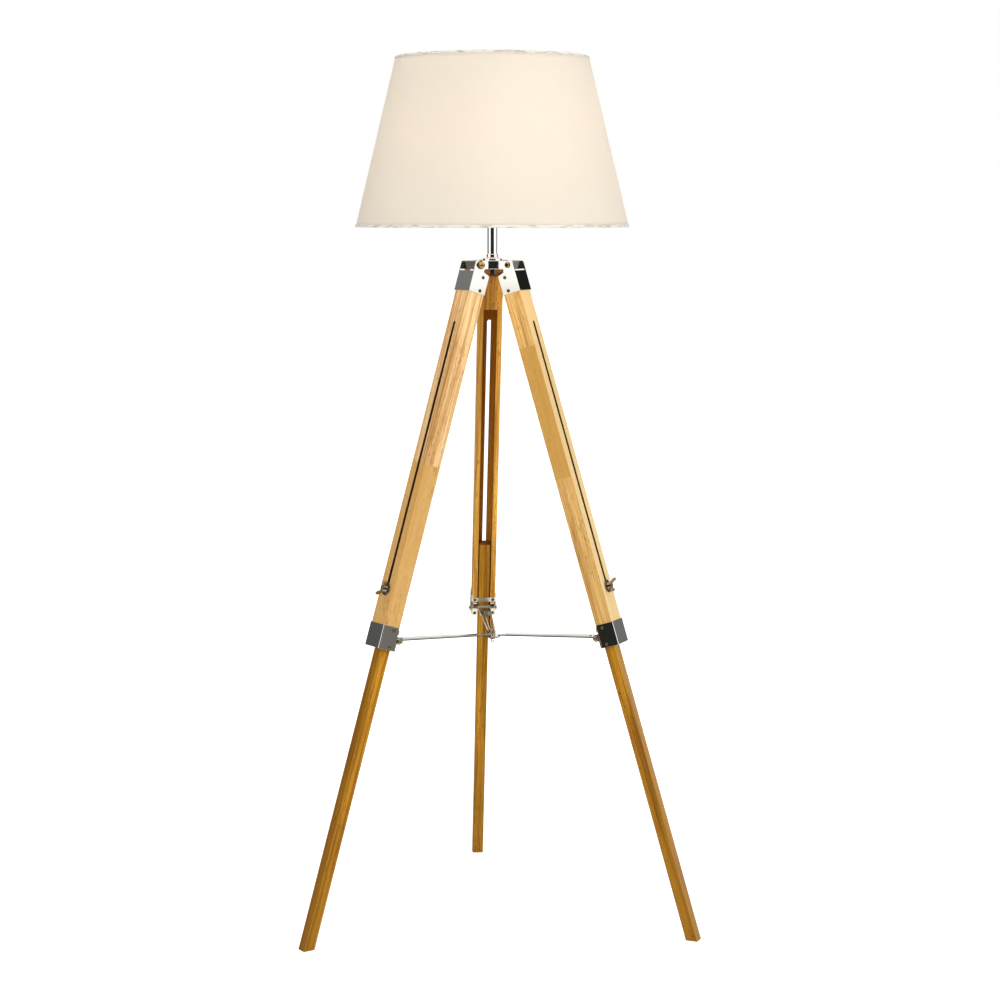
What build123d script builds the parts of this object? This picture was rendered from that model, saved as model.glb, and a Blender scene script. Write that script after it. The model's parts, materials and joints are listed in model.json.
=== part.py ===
from build123d import *
import os
from math import cos, radians, sin, tan

os.makedirs("parts", exist_ok=True)

# All sizes in millimetres and degrees. The floor is Z = 0 and the back leg stands
# on the +Y side. Each piece is built with the lamp's axis as the Z axis, and save()
# then moves them all alike, so that the origin lies below the middle of the lamp's box.

# ---- stand, as it stands open ----
leg_azimuths = {"back": 90, "left": 210, "right": 330}
pivot_height = 1092.5  # hub hinge axes above the floor
pivot_radius = 37.5  # hub hinge axes from the lamp's axis
leg_lean = 17.2  # slope of an open leg from plumb

# ---- hub ----
hub_height = 14.0
hub_radius = 29.0
lobe_reach = 43.0  # flat end of a lobe, from the axis
hub_side_gap = 0.4  # lobe to cap ear, each side
hub_rim_chamfer = 0.8
pivot_bolt_radius = 3.0
bore_clearance = 0.05  # shafts that stay put
turn_clearance = 0.07  # shafts that turn
washer_gap = 0.3  # under a bolt head or nut
pivot_head_radius = 4.4
pivot_head_height = 3.0
pivot_nut_radius = 6.2
pivot_nut_height = 8.5
nut_wall_share = 0.4  # straight part of a dome nut's height
nut_thread_share = 0.5  # threaded part of a dome nut's height
head_taper = 25  # slope of the sides of a button head

# ---- upper legs: a beam with a channel behind and a slot in front ----
leg_width = 40.0
leg_depth = 30.0
pivot_inset = 8.5  # hinge axis behind the outer face
wood_top = 15.0  # top of the wood below the hinge axis
wood_length = 626.0
wood_rounding = 1.2
channel_side_gap = 2.0  # each side of the lower leg in its channel
slide_spare = 0.2  # the lower leg's inner face stays this far inside the channel
channel_below_top = 57.5
slot_below_channel = 24.5
slot_side_gap = 0.5  # each side of the clamping stud
slot_end_gap = 0.6

# ---- lower legs ----
lower_width = 19.0
lower_depth = 19.0
slide_gap = 0.3
stud_above_wood_end = 94.5  # clamping stud above the end of the upper leg
lower_above_stud = 41.0

# ---- clamping stud and wing nut ----
stud_radius = 3.0
stud_in_wood = 14.0
stud_past_nut = 1.5
stud_chamfer = 0.6
washer_radius = 10.5
washer_thickness = 1.4
wing_boss_radius = 6.0
wing_boss_height = 7.0
wing_boss_taper = 12
wing_span = 14.5
wing_width = 8.5
wing_thickness = 2.4
wing_rise = 7.5
wing_root = 3.6
wing_tip_radius = 1.8
wing_angles = {"back": 20, "left": 35, "right": 50}

# ---- folded metal: top caps and bottom collars ----
plate = 1.5
bend_radius = 2.0
cap_corner_radius = 1.4
cap_top = 12.1  # edge of the cap's outer plate below the hinge axis
cap_height = 33.3
cap_shoulder = 0.9  # shoulder below the edge of the outer plate
shoulder_drop = 3.6
ear_width = 19.5
ear_above_pivot = 6.5
ear_rounding = 5.0
collar_height = 38.7
collar_below_wood = 0.8
collar_set_back = 1.5
screw_radius = 1.5
screw_length = 10.0
screw_head_radius = 2.4
screw_head_height = 1.3
screw_head_taper = 20
screw_hole_spare = 1.0  # pilot hole past the screw's tip
screw_from_inner_edge = 10.8
screw_from_plate_edge = 5.0
upper_screw_drop = 1.0  # the upper screw of a side plate sits this much lower

# ---- strap and hinge leaves on the inner face ----
strap_height = 8.0
leaf_height = 24.5
strap_below_collar_top = 4.0
leaf_screw_from_end = 5.0
pin_above_leaf_end = 18.0
pin_stand_off = 5.5  # spreader pin in front of the wood's inner face
ear_radius = 5.5
strap_corner = 1.0
pin_radius = 2.5
pin_end_gap = 0.1  # hinge leaf to the pin's head or nut
pin_head_radius = 4.2
pin_head_height = 2.8
pin_nut_radius = 4.8
pin_nut_height = 7.0

# ---- spreader ----
arm_slope = 3.5
arm_thickness = 2.0
arm_tip_width = 14.0
arm_side_gap = 0.3  # hinge barrel to the channel's edges
barrel_radius = 4.1
tip_radius = 11.0  # end of an arm from the lamp's axis
bead_width = 5.0
bead_height = 1.3
bead_margin = 16.0
plate_gap = 0.4
centre_plate_radius = 13.0
centre_plate_thickness = 2.0
tongue_width = 11.0
tongue_reach = 30.0
centre_bolt_radius = 2.5
centre_head_radius = 4.0
centre_head_height = 2.0
centre_nut_radius = 4.6
centre_nut_height = 4.0
clip_wire_radius = 0.8
clip_bend_radius = 1.4
clip_drop = 4.5
clip_hook = 2.0
centre_head_taper = 20
bead_taper = 20

# ---- column ----
flange_radius = 15.5
flange_height = 4.0
flange_rounding = 1.8
stem_radius = 7.9
stem_wall = 1.0
stem_length = 77.0
ring_radius = 9.2
ring_height = 6.5
ring_gap = 0.1
bush_flange_radius = 7.0
bush_flange_height = 1.5
bush_nose_radius = 4.0
bush_tip_radius = 3.4
bush_nose_length = 9.0
cord_bore_radius = 2.8

# ---- lampholder and bulb ----
holder_cup_radius = 20.0
holder_cup_height = 22.0
holder_cup_rounding = 8.8
holder_wall = 1.6
holder_skirt_radius = 19.4
holder_skirt_height = 36.0
holder_flange_radius = 23.5
holder_flange_height = 2.2
socket_radius = 13.7
socket_floor = 4.0
fitting_hole_gap = 0.4
fitting_outer_radius = 27.0
fitting_thickness = 1.6
clamp_ring_radius = 28.0
clamp_ring_height = 4.0
clamp_ring_gap = 0.15
clamp_ring_chamfer = 1.5
bulb_base_radius = 13.2
bulb_base_height = 25.0
bulb_contact_height = 3.0
bulb_contact_radius = 5.3
bulb_seat_gap = 1.0
bulb_radius = 30.0
bulb_glass_height = 82.0
bulb_wall = 1.0
bulb_neck_radius = 12.6

# ---- shade ----
shade_bottom_radius = 225.0
shade_top_radius = 158.0
shade_height = 275.5
shade_drop = 52.1  # bottom edge of the shade below its fitting ring
cover_thickness = 1.2
hem_radius = 2.5
hem_wall = 0.8
hoop_radius = 1.6
spoke_radius = 1.6
spoke_turns = (30, 150, 270)
notch_gap = 0.3
hem_proud = 1.0
join_gap = 0.05

# ---- widths, heights and depths that follow from the sizes above ----
channel_width = lower_width + 2 * channel_side_gap
front_wall = leg_depth - lower_depth - slide_gap - slide_spare
slot_width = 2 * (stud_radius + slot_side_gap)
outer_face = pivot_inset
inner_face = pivot_inset - leg_depth
channel_floor = outer_face - front_wall
plate_width = leg_width + 2 * plate
wood_end = wood_top + wood_length
channel_top = wood_top + channel_below_top
slot_top = channel_top + slot_below_channel
stud_drop = wood_end - stud_above_wood_end
lower_top = stud_drop - lower_above_stud
collar_end = wood_end + collar_below_wood
collar_top = collar_end - collar_height
leaf_end = collar_end
leaf_top = leaf_end - leaf_height
strap_top = collar_top + strap_below_collar_top
leaf_screws_y = (leg_width + channel_width) / 4
pin_drop = leaf_end - pin_above_leaf_end
pin_depth = inner_face - pin_stand_off

hub_bottom = pivot_height - hub_height / 2
hub_top = hub_bottom + hub_height
flange_top = hub_top + flange_height
holder_bottom = flange_top + stem_length
skirt_bottom = holder_bottom + holder_cup_height
fitting_bottom = skirt_bottom + holder_flange_height
fitting_top = fitting_bottom + fitting_thickness
shade_bottom = fitting_bottom - shade_drop
shade_top = shade_bottom + shade_height
bulb_bottom = skirt_bottom + socket_floor + bulb_seat_gap
glass_bottom = bulb_bottom + bulb_base_height

lower_face = channel_floor - slide_gap
foot_reach = (
    pivot_radius + lower_face / cos(radians(leg_lean)) + pivot_height * tan(radians(leg_lean))
)
box_middle = (foot_reach - shade_bottom_radius) / 2  # of the lamp's box, from its axis


def leg_frame(side):
    """Plane on a hub hinge axis: X out of the leg, Y across it, Z up along it."""
    turn, lean = radians(leg_azimuths[side]), radians(leg_lean)
    out = Vector(cos(turn), sin(turn), 0)
    origin = out * pivot_radius + Vector(0, 0, pivot_height)
    normal = out * cos(lean) + Vector(0, 0, sin(lean))
    along = out * -sin(lean) + Vector(0, 0, cos(lean))
    return Plane(origin=origin, x_dir=normal, z_dir=along)


def side_plane(frame, y):
    """Plane of a leg's side, at y across it. It is extruded towards -Y."""
    return Plane(origin=frame.from_local_coords((0, y, 0)), x_dir=frame.x_dir, z_dir=-frame.y_dir)


def face_plane(frame, x):
    """Plane of a leg's outer or inner face. It is extruded outwards."""
    return Plane(origin=frame.from_local_coords((x, 0, 0)), x_dir=frame.y_dir, z_dir=frame.x_dir)


def arm_frame(side):
    """Plane on a spreader pin: X along the arm to the lamp's axis, Z up."""
    turn, slope = radians(leg_azimuths[side]), radians(arm_slope)
    out = Vector(cos(turn), sin(turn), 0)
    origin = leg_frame(side).from_local_coords((pin_depth, 0, -pin_drop))
    along = out * -cos(slope) + Vector(0, 0, -sin(slope))
    normal = out * -sin(slope) + Vector(0, 0, cos(slope))
    return Plane(origin=origin, x_dir=along, z_dir=normal)


def arm_reach(side):
    """Distance along an arm from its pin to the lamp's axis."""
    pin = leg_frame(side).from_local_coords((pin_depth, 0, -pin_drop))
    return Vector(pin.X, pin.Y, 0).length / cos(radians(arm_slope))


def plate_screw_places(top, end):
    """Screw places on one side plate, as (x, z) in the leg's frame."""
    x = inner_face + screw_from_inner_edge
    return [(x, -top - screw_from_plate_edge - upper_screw_drop), (x, -end + screw_from_plate_edge)]


def cap_screw_places():
    return plate_screw_places(cap_top, cap_top + cap_height)


def collar_screw_places():
    return plate_screw_places(collar_top, collar_end)


def inner_screw_places():
    """Screw places on the inner face, as (y, z) in the leg's frame."""
    levels = [
        strap_top + strap_height / 2,
        leaf_top + leaf_screw_from_end,
        leaf_end - leaf_screw_from_end,
    ]
    return [(side * leaf_screws_y, -level) for level in levels for side in (-1, 1)]


# ======================= hub and column =======================


def build_hub():
    with BuildPart() as hub:
        with BuildSketch(Plane.XY.offset(hub_bottom)):
            Circle(hub_radius)
            with PolarLocations(lobe_reach / 2, 3, start_angle=90):
                Rectangle(lobe_reach, leg_width - 2 * hub_side_gap)
        extrude(amount=hub_height)
        rims = hub.edges().group_by(Axis.Z)
        chamfer(rims[-1] + rims[0], length=hub_rim_chamfer)
        with BuildSketch(Plane.XY.offset(hub_bottom)):
            Circle(bush_nose_radius + bore_clearance)
        extrude(amount=hub_height, mode=Mode.SUBTRACT)
        for side in leg_azimuths:
            with BuildSketch(side_plane(leg_frame(side), leg_width / 2)):
                Circle(pivot_bolt_radius + bore_clearance)
            extrude(amount=leg_width, mode=Mode.SUBTRACT)
    return hub.part


def build_pivot_bolts():
    head_seat = -leg_width / 2 - plate - washer_gap
    nut_seat = -head_seat
    with BuildPart() as pivot_bolts:
        for side in leg_azimuths:
            with BuildSketch(side_plane(leg_frame(side), nut_seat + pivot_nut_height * nut_thread_share)):
                Circle(pivot_bolt_radius)
            extrude(amount=nut_seat - head_seat + pivot_nut_height * nut_thread_share)
            with BuildSketch(side_plane(leg_frame(side), head_seat)):
                Circle(pivot_head_radius)
            extrude(amount=pivot_head_height, taper=head_taper)
    return pivot_bolts.part


def dome_nut_profile(radius, height, seat):
    """Half outline of a dome nut that seats at Y = seat and points along +Y."""
    Line((0, seat), (radius, seat))
    wall = Line((radius, seat), (radius, seat + height * nut_wall_share))
    Spline(
        wall @ 1,
        (radius * 0.75, seat + height * 0.82),
        (0, seat + height),
        tangents=[(0, 1), (-1, 0)],
    )
    Line((0, seat + height), (0, seat))


def build_pivot_nuts():
    seat = leg_width / 2 + plate + washer_gap
    with BuildPart() as pivot_nuts:
        for side in leg_azimuths:
            frame = leg_frame(side)
            with BuildSketch(Plane(origin=frame.origin, x_dir=frame.x_dir, z_dir=frame.z_dir)):
                with BuildLine():
                    dome_nut_profile(pivot_nut_radius, pivot_nut_height, seat)
                make_face()
            revolve(axis=Axis(frame.origin, frame.y_dir))
            with BuildSketch(side_plane(frame, seat + pivot_nut_height * nut_thread_share)):
                Circle(pivot_bolt_radius)
            extrude(amount=pivot_nut_height * nut_thread_share, mode=Mode.SUBTRACT)
    return pivot_nuts.part


def build_cord_bush():
    with BuildPart() as cord_bush:
        with BuildSketch(Plane.XY.offset(hub_bottom)):
            Circle(bush_nose_radius)
        extrude(amount=hub_height * 0.6)
        with BuildSketch(Plane.XY.offset(hub_bottom - bush_flange_height)):
            Circle(bush_flange_radius)
        extrude(amount=bush_flange_height)
        with BuildSketch(Plane.XY.offset(hub_bottom - bush_flange_height)):
            Circle(bush_nose_radius)
        with BuildSketch(Plane.XY.offset(hub_bottom - bush_flange_height - bush_nose_length)):
            Circle(bush_tip_radius)
        loft()
        with BuildSketch(Plane.XY.offset(hub_bottom - bush_flange_height - bush_nose_length)):
            Circle(cord_bore_radius)
        extrude(amount=bush_nose_length + bush_flange_height + hub_height, mode=Mode.SUBTRACT)
    return cord_bush.part


def build_hub_flange():
    with BuildPart() as hub_flange:
        with BuildSketch(Plane.XY.offset(hub_top)):
            Circle(flange_radius)
        extrude(amount=flange_height)
        fillet(hub_flange.edges().group_by(Axis.Z)[-1], radius=flange_rounding)
        with BuildSketch(Plane.XY.offset(hub_top)):
            Circle(stem_radius - stem_wall)
        extrude(amount=flange_height, mode=Mode.SUBTRACT)
    return hub_flange.part


def build_stem():
    with BuildPart() as stem:
        with BuildSketch(Plane.XY.offset(flange_top)):
            Circle(stem_radius)
            Circle(stem_radius - stem_wall, mode=Mode.SUBTRACT)
        extrude(amount=stem_length)
    return stem.part


def build_stem_ring():
    with BuildPart() as stem_ring:
        with BuildSketch(Plane.XZ):
            with Locations((stem_radius + ring_gap, flange_top + ring_height / 2)):
                RectangleRounded(
                    2 * (ring_radius - stem_radius - ring_gap),
                    ring_height,
                    (ring_radius - stem_radius - ring_gap) * 0.95,
                )
            with Locations((stem_radius + ring_gap - ring_radius, flange_top + ring_height / 2)):
                Rectangle(2 * ring_radius, ring_height, mode=Mode.SUBTRACT)
        revolve(axis=Axis.Z)
    return stem_ring.part


# ======================= lampholder, bulb and shade =======================


def build_holder_cup():
    with BuildPart() as holder_cup:
        with BuildSketch(Plane.XY.offset(holder_bottom)):
            Circle(holder_cup_radius)
        extrude(amount=holder_cup_height)
        fillet(holder_cup.edges().group_by(Axis.Z)[0], radius=holder_cup_rounding)
        offset(
            amount=-holder_wall,
            openings=holder_cup.faces().sort_by(Axis.Z)[-1],
        )
        with BuildSketch(Plane.XY.offset(holder_bottom)):
            Circle(stem_radius - stem_wall)
        extrude(amount=2 * holder_wall, mode=Mode.SUBTRACT)
    return holder_cup.part


def build_holder_skirt():
    with BuildPart() as holder_skirt:
        with BuildSketch(Plane.XY.offset(skirt_bottom)):
            Circle(holder_skirt_radius)
        extrude(amount=holder_skirt_height)
        with BuildSketch(Plane.XY.offset(skirt_bottom)):
            Circle(holder_flange_radius)
        extrude(amount=holder_flange_height)
        with BuildSketch(Plane.XY.offset(skirt_bottom + socket_floor)):
            Circle(socket_radius)
        extrude(amount=holder_skirt_height, mode=Mode.SUBTRACT)
    return holder_skirt.part


def build_shade_clamp():
    with BuildPart() as shade_clamp:
        with BuildSketch(Plane.XY.offset(fitting_top)):
            Circle(clamp_ring_radius)
            Circle(holder_skirt_radius + clamp_ring_gap, mode=Mode.SUBTRACT)
        extrude(amount=clamp_ring_height)
        chamfer(
            shade_clamp.edges().group_by(Axis.Z)[-1].sort_by(SortBy.LENGTH)[-1],
            length=clamp_ring_chamfer,
        )
    return shade_clamp.part


def build_bulb_base():
    shell_bottom = bulb_bottom + bulb_contact_height
    with BuildPart() as bulb_base:
        with BuildSketch(Plane.XY.offset(shell_bottom)):
            Circle(bulb_base_radius)
        extrude(amount=bulb_base_height - bulb_contact_height)
        with BuildSketch(Plane.XY.offset(bulb_bottom)):
            Circle(bulb_contact_radius)
        with BuildSketch(Plane.XY.offset(shell_bottom)):
            Circle(bulb_base_radius - bulb_wall)
        loft()
    return bulb_base.part


def bulb_profile(neck, radius, bottom, height):
    """Half outline of a bulb, from its neck up to its crown on the axis."""
    Spline(
        (neck, bottom),
        (neck + (radius - neck) * 0.35, bottom + height * 0.22),
        (radius, bottom + height - radius),
        (radius * 0.7, bottom + height - radius * 0.29),
        (0, bottom + height),
        tangents=[(0.1, 1), (-1, 0)],
    )


def build_bulb_glass():
    with BuildPart() as bulb_glass:
        with BuildSketch(Plane.XZ):
            with BuildLine():
                bulb_profile(bulb_neck_radius, bulb_radius, glass_bottom, bulb_glass_height)
                Line((0, glass_bottom + bulb_glass_height), (0, glass_bottom))
                Line((0, glass_bottom), (bulb_neck_radius, glass_bottom))
            make_face()
        revolve(axis=Axis.Z)
        with BuildSketch(Plane.XZ):
            with BuildLine():
                bulb_profile(
                    bulb_neck_radius - bulb_wall,
                    bulb_radius - bulb_wall,
                    glass_bottom,
                    bulb_glass_height - bulb_wall,
                )
                Line((0, glass_bottom + bulb_glass_height - bulb_wall), (0, glass_bottom))
                Line((0, glass_bottom), (bulb_neck_radius - bulb_wall, glass_bottom))
            make_face()
        revolve(axis=Axis.Z, mode=Mode.SUBTRACT)
    return bulb_glass.part


def cover_radius(height):
    """Outer radius of the shade's cover at a height above the shade's bottom."""
    bottom, top = shade_bottom_radius - hem_proud, shade_top_radius - hem_proud
    return bottom + (top - bottom) * height / shade_height


def hem_centre(above_bottom):
    """Centre of a hem's section, as (radius, height above the shade's bottom)."""
    return cover_radius(above_bottom) + hem_proud - hem_radius, shade_bottom + above_bottom


def build_shade_cover():
    low, high = 2 * hem_radius + join_gap, shade_height - 2 * hem_radius - join_gap
    with BuildPart() as shade_cover:
        with BuildSketch(Plane.XZ):
            with BuildLine():
                Polyline(
                    (cover_radius(low), shade_bottom + low),
                    (cover_radius(high), shade_bottom + high),
                    (cover_radius(high) - cover_thickness, shade_bottom + high),
                    (cover_radius(low) - cover_thickness, shade_bottom + low),
                    close=True,
                )
            make_face()
        revolve(axis=Axis.Z)
    return shade_cover.part


def build_shade_hem(above_bottom, notches):
    centre = hem_centre(above_bottom)
    with BuildPart() as shade_hem:
        with BuildSketch(Plane.XZ):
            with Locations(centre):
                Circle(hem_radius)
                Circle(hem_radius - hem_wall, mode=Mode.SUBTRACT)
        revolve(axis=Axis.Z)
        for turn in notches:
            start, end = spoke_ends(turn)
            with BuildSketch(Plane(origin=end, z_dir=start - end)):
                Circle(spoke_radius + notch_gap)
            extrude(amount=2 * hem_radius, mode=Mode.SUBTRACT)
    return shade_hem.part


def build_top_hoop():
    with BuildPart() as top_hoop:
        with BuildSketch(Plane.XZ):
            with Locations(hem_centre(shade_height - hem_radius)):
                Circle(hoop_radius)
        revolve(axis=Axis.Z)
    return top_hoop.part


def spoke_ends(turn):
    """Ends of a spoke's centre line: on the fitting ring and on the bottom hoop."""
    hoop_place, hoop_height = hem_centre(hem_radius)
    ring_edge = Vector(fitting_outer_radius - spoke_radius, 0, fitting_bottom + fitting_thickness / 2)
    on_hoop = Vector(hoop_place, 0, hoop_height)
    return ring_edge.rotate(Axis.Z, turn), on_hoop.rotate(Axis.Z, turn)


def build_shade_frame():
    with BuildPart() as shade_frame:
        with BuildSketch(Plane.XY.offset(fitting_bottom)):
            Circle(fitting_outer_radius)
            Circle(holder_skirt_radius + fitting_hole_gap, mode=Mode.SUBTRACT)
        extrude(amount=fitting_thickness)
        for turn in spoke_turns:
            start, end = spoke_ends(turn)
            with BuildSketch(Plane(origin=start, z_dir=end - start)):
                Circle(spoke_radius)
            extrude(amount=(end - start).length)
        with BuildSketch(Plane.XZ):
            with Locations(hem_centre(hem_radius)):
                Circle(hoop_radius)
        revolve(axis=Axis.Z)
        with BuildSketch(Plane.XY.offset(fitting_bottom - spoke_radius)):
            Circle(holder_flange_radius + fitting_hole_gap)
        extrude(amount=spoke_radius, mode=Mode.SUBTRACT)
        with BuildSketch(Plane.XY.offset(fitting_top)):
            Circle(clamp_ring_radius + fitting_hole_gap)
        extrude(amount=spoke_radius, mode=Mode.SUBTRACT)
    return shade_frame.part


# ======================= upper legs =======================


def build_upper_leg(side):
    frame = leg_frame(side)
    slot_bottom = stud_drop + stud_radius + slot_end_gap
    with BuildPart() as upper_leg:
        with BuildSketch(frame.offset(-wood_end)):
            with Locations(((outer_face + inner_face) / 2, 0)):
                RectangleRounded(leg_depth, leg_width, wood_rounding)
        extrude(amount=wood_length)
        with BuildSketch(frame.offset(-wood_end)):
            with Locations(((channel_floor + inner_face) / 2 - 1, 0)):
                Rectangle(channel_floor - inner_face + 2, channel_width)
        extrude(amount=wood_end - channel_top, mode=Mode.SUBTRACT)
        with BuildSketch(face_plane(frame, channel_floor)):
            with Locations((0, -(slot_top + slot_bottom) / 2)):
                SlotOverall(slot_bottom - slot_top, slot_width, rotation=90)
        extrude(amount=front_wall, mode=Mode.SUBTRACT)
        for direction in (-1, 1):
            start = side_plane(frame, direction * leg_width / 2)
            with BuildSketch(start):
                with Locations(*cap_screw_places(), *collar_screw_places()):
                    Circle(screw_radius + bore_clearance)
            extrude(amount=direction * (screw_length + screw_hole_spare), mode=Mode.SUBTRACT)
        with BuildSketch(face_plane(frame, inner_face)):
            with Locations(*inner_screw_places()):
                Circle(screw_radius + bore_clearance)
        extrude(amount=screw_length + screw_hole_spare, mode=Mode.SUBTRACT)
    return upper_leg.part


def build_cap(side):
    frame = leg_frame(side)
    ear_inner = outer_face + plate - ear_width
    shoulder = -cap_top - cap_shoulder
    end = -cap_top - cap_height
    with BuildPart() as cap:
        with BuildSketch(face_plane(frame, outer_face)):
            with Locations((0, -cap_top - cap_height / 2)):
                Rectangle(plate_width, cap_height)
        extrude(amount=plate)
        for y in (plate_width / 2, -leg_width / 2):
            with BuildSketch(side_plane(frame, y)) as ear:
                with BuildLine():
                    Polyline(
                        (outer_face + plate, end),
                        (outer_face + plate, ear_above_pivot),
                        (ear_inner, ear_above_pivot),
                        (ear_inner, shoulder + shoulder_drop),
                        (inner_face, shoulder),
                        (inner_face, end),
                        close=True,
                    )
                make_face()
                fillet(ear.vertices().group_by(Axis.Y)[-1], radius=ear_rounding)
            extrude(amount=plate)
        corners = cap.edges().filter_by(lambda e: abs(e.length - cap_height) < 0.01)
        outer = corners.filter_by(
            lambda e: frame.to_local_coords(e.center()).X > outer_face + plate / 2
            and abs(frame.to_local_coords(e.center()).Y) > plate_width / 2 - 0.01
        )
        if outer:
            fillet(outer, radius=cap_corner_radius)
        with BuildSketch(side_plane(frame, plate_width / 2)):
            with Locations(*cap_screw_places()):
                Circle(screw_radius + bore_clearance)
            Circle(pivot_bolt_radius + turn_clearance)
        extrude(amount=plate_width, mode=Mode.SUBTRACT)
    return cap.part


def build_collar(side):
    frame = leg_frame(side)
    edge = inner_face + collar_set_back
    depth = outer_face + plate - edge
    with BuildPart() as collar:
        with BuildSketch(frame.offset(-collar_end)) as section:
            with Locations((edge + depth / 2, 0)):
                Rectangle(depth, plate_width)
            fillet(section.vertices().group_by(Axis.X)[-1], radius=bend_radius)
            with Locations((edge + (outer_face - edge) / 2, 0)):
                Rectangle(outer_face - edge, leg_width, mode=Mode.SUBTRACT)
        extrude(amount=collar_height)
        with BuildSketch(side_plane(frame, plate_width / 2)):
            with Locations(*collar_screw_places()):
                Circle(screw_radius + bore_clearance)
        extrude(amount=plate_width, mode=Mode.SUBTRACT)
    return collar.part


def build_leg_screws(side):
    frame = leg_frame(side)
    places = cap_screw_places() + collar_screw_places()
    with BuildPart() as leg_screws:
        for direction in (-1, 1):
            seat = side_plane(frame, direction * plate_width / 2)
            with BuildSketch(seat):
                with Locations(*places):
                    Circle(screw_radius)
            extrude(amount=direction * screw_length)
            with BuildSketch(seat):
                with Locations(*places):
                    Circle(screw_head_radius)
            extrude(amount=-direction * screw_head_height, taper=screw_head_taper)
        seat = face_plane(frame, inner_face - plate)
        with BuildSketch(seat):
            with Locations(*inner_screw_places()):
                Circle(screw_radius)
        extrude(amount=screw_length)
        with BuildSketch(seat):
            with Locations(*inner_screw_places()):
                Circle(screw_head_radius)
        extrude(amount=-screw_head_height, taper=screw_head_taper)
    return leg_screws.part


def build_strap(side):
    with BuildPart() as strap:
        with BuildSketch(face_plane(leg_frame(side), inner_face - plate)):
            with Locations((0, -strap_top - strap_height / 2)):
                RectangleRounded(leg_width, strap_height, strap_corner)
            with Locations(*inner_screw_places()[:2]):
                Circle(screw_radius + bore_clearance, mode=Mode.SUBTRACT)
        extrude(amount=plate)
    return strap.part


def build_hinge_leaves(side):
    frame = leg_frame(side)
    tab = (leg_width - channel_width) / 2 - arm_side_gap
    ear_depth = inner_face - pin_depth
    with BuildPart() as hinge_leaves:
        with BuildSketch(face_plane(frame, inner_face - plate)):
            with Locations(
                ((leg_width - tab) / 2, -leaf_top - leaf_height / 2),
                ((tab - leg_width) / 2, -leaf_top - leaf_height / 2),
            ):
                Rectangle(tab, leaf_height)
            with Locations(*inner_screw_places()[2:]):
                Circle(screw_radius + bore_clearance, mode=Mode.SUBTRACT)
        extrude(amount=plate)
        for y in (leg_width / 2, plate - leg_width / 2):
            with BuildSketch(side_plane(frame, y)):
                with Locations((inner_face - ear_depth / 2, -pin_drop)):
                    Rectangle(ear_depth, 2 * ear_radius)
                with Locations((pin_depth, -pin_drop)):
                    Circle(ear_radius)
                    Circle(pin_radius + bore_clearance, mode=Mode.SUBTRACT)
            extrude(amount=plate)
    return hinge_leaves.part


def build_spreader_pin(side):
    frame = leg_frame(side)
    seat = leg_width / 2 + pin_end_gap
    place = frame.from_local_coords((pin_depth, 0, -pin_drop))
    with BuildPart() as spreader_pin:
        with BuildSketch(side_plane(frame, seat)):
            with Locations((pin_depth, -pin_drop)):
                Circle(pin_radius)
        extrude(amount=2 * seat)
        with BuildSketch(side_plane(frame, -seat)):
            with Locations((pin_depth, -pin_drop)):
                Circle(pin_head_radius)
        extrude(amount=pin_head_height, taper=head_taper)
        with BuildSketch(Plane(origin=place, x_dir=frame.x_dir, z_dir=frame.z_dir)):
            with BuildLine():
                dome_nut_profile(pin_nut_radius, pin_nut_height, seat)
            make_face()
        revolve(axis=Axis(place, frame.y_dir))
    return spreader_pin.part


# ======================= lower legs =======================


def build_lower_leg(side):
    frame = leg_frame(side)
    longest = 2 * pivot_height
    with BuildPart() as lower_leg:
        with BuildSketch(frame.offset(-lower_top)):
            with Locations((lower_face - lower_depth / 2, 0)):
                RectangleRounded(lower_depth, lower_width, wood_rounding)
        extrude(amount=-longest)
        split(bisect_by=Plane.XY, keep=Keep.TOP)
        with BuildSketch(face_plane(frame, lower_face)):
            with Locations((0, -stud_drop)):
                Circle(stud_radius + bore_clearance)
        extrude(amount=-stud_in_wood - bore_clearance, mode=Mode.SUBTRACT)
    return lower_leg.part


def build_clamp_stud(side):
    frame = leg_frame(side)
    tip = outer_face + slide_gap + washer_thickness + wing_boss_height + stud_past_nut
    with BuildPart() as clamp_stud:
        with BuildSketch(face_plane(frame, lower_face - stud_in_wood)):
            with Locations((0, -stud_drop)):
                Circle(stud_radius)
        extrude(amount=tip - lower_face + stud_in_wood)
        chamfer(clamp_stud.edges().sort_by(Axis(frame.origin, frame.x_dir))[-1], length=stud_chamfer)
    return clamp_stud.part


def build_washer(side):
    with BuildPart() as washer:
        with BuildSketch(face_plane(leg_frame(side), outer_face + slide_gap)):
            with Locations((0, -stud_drop)):
                Circle(washer_radius)
                Circle(stud_radius + bore_clearance, mode=Mode.SUBTRACT)
        extrude(amount=washer_thickness)
    return washer.part


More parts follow.
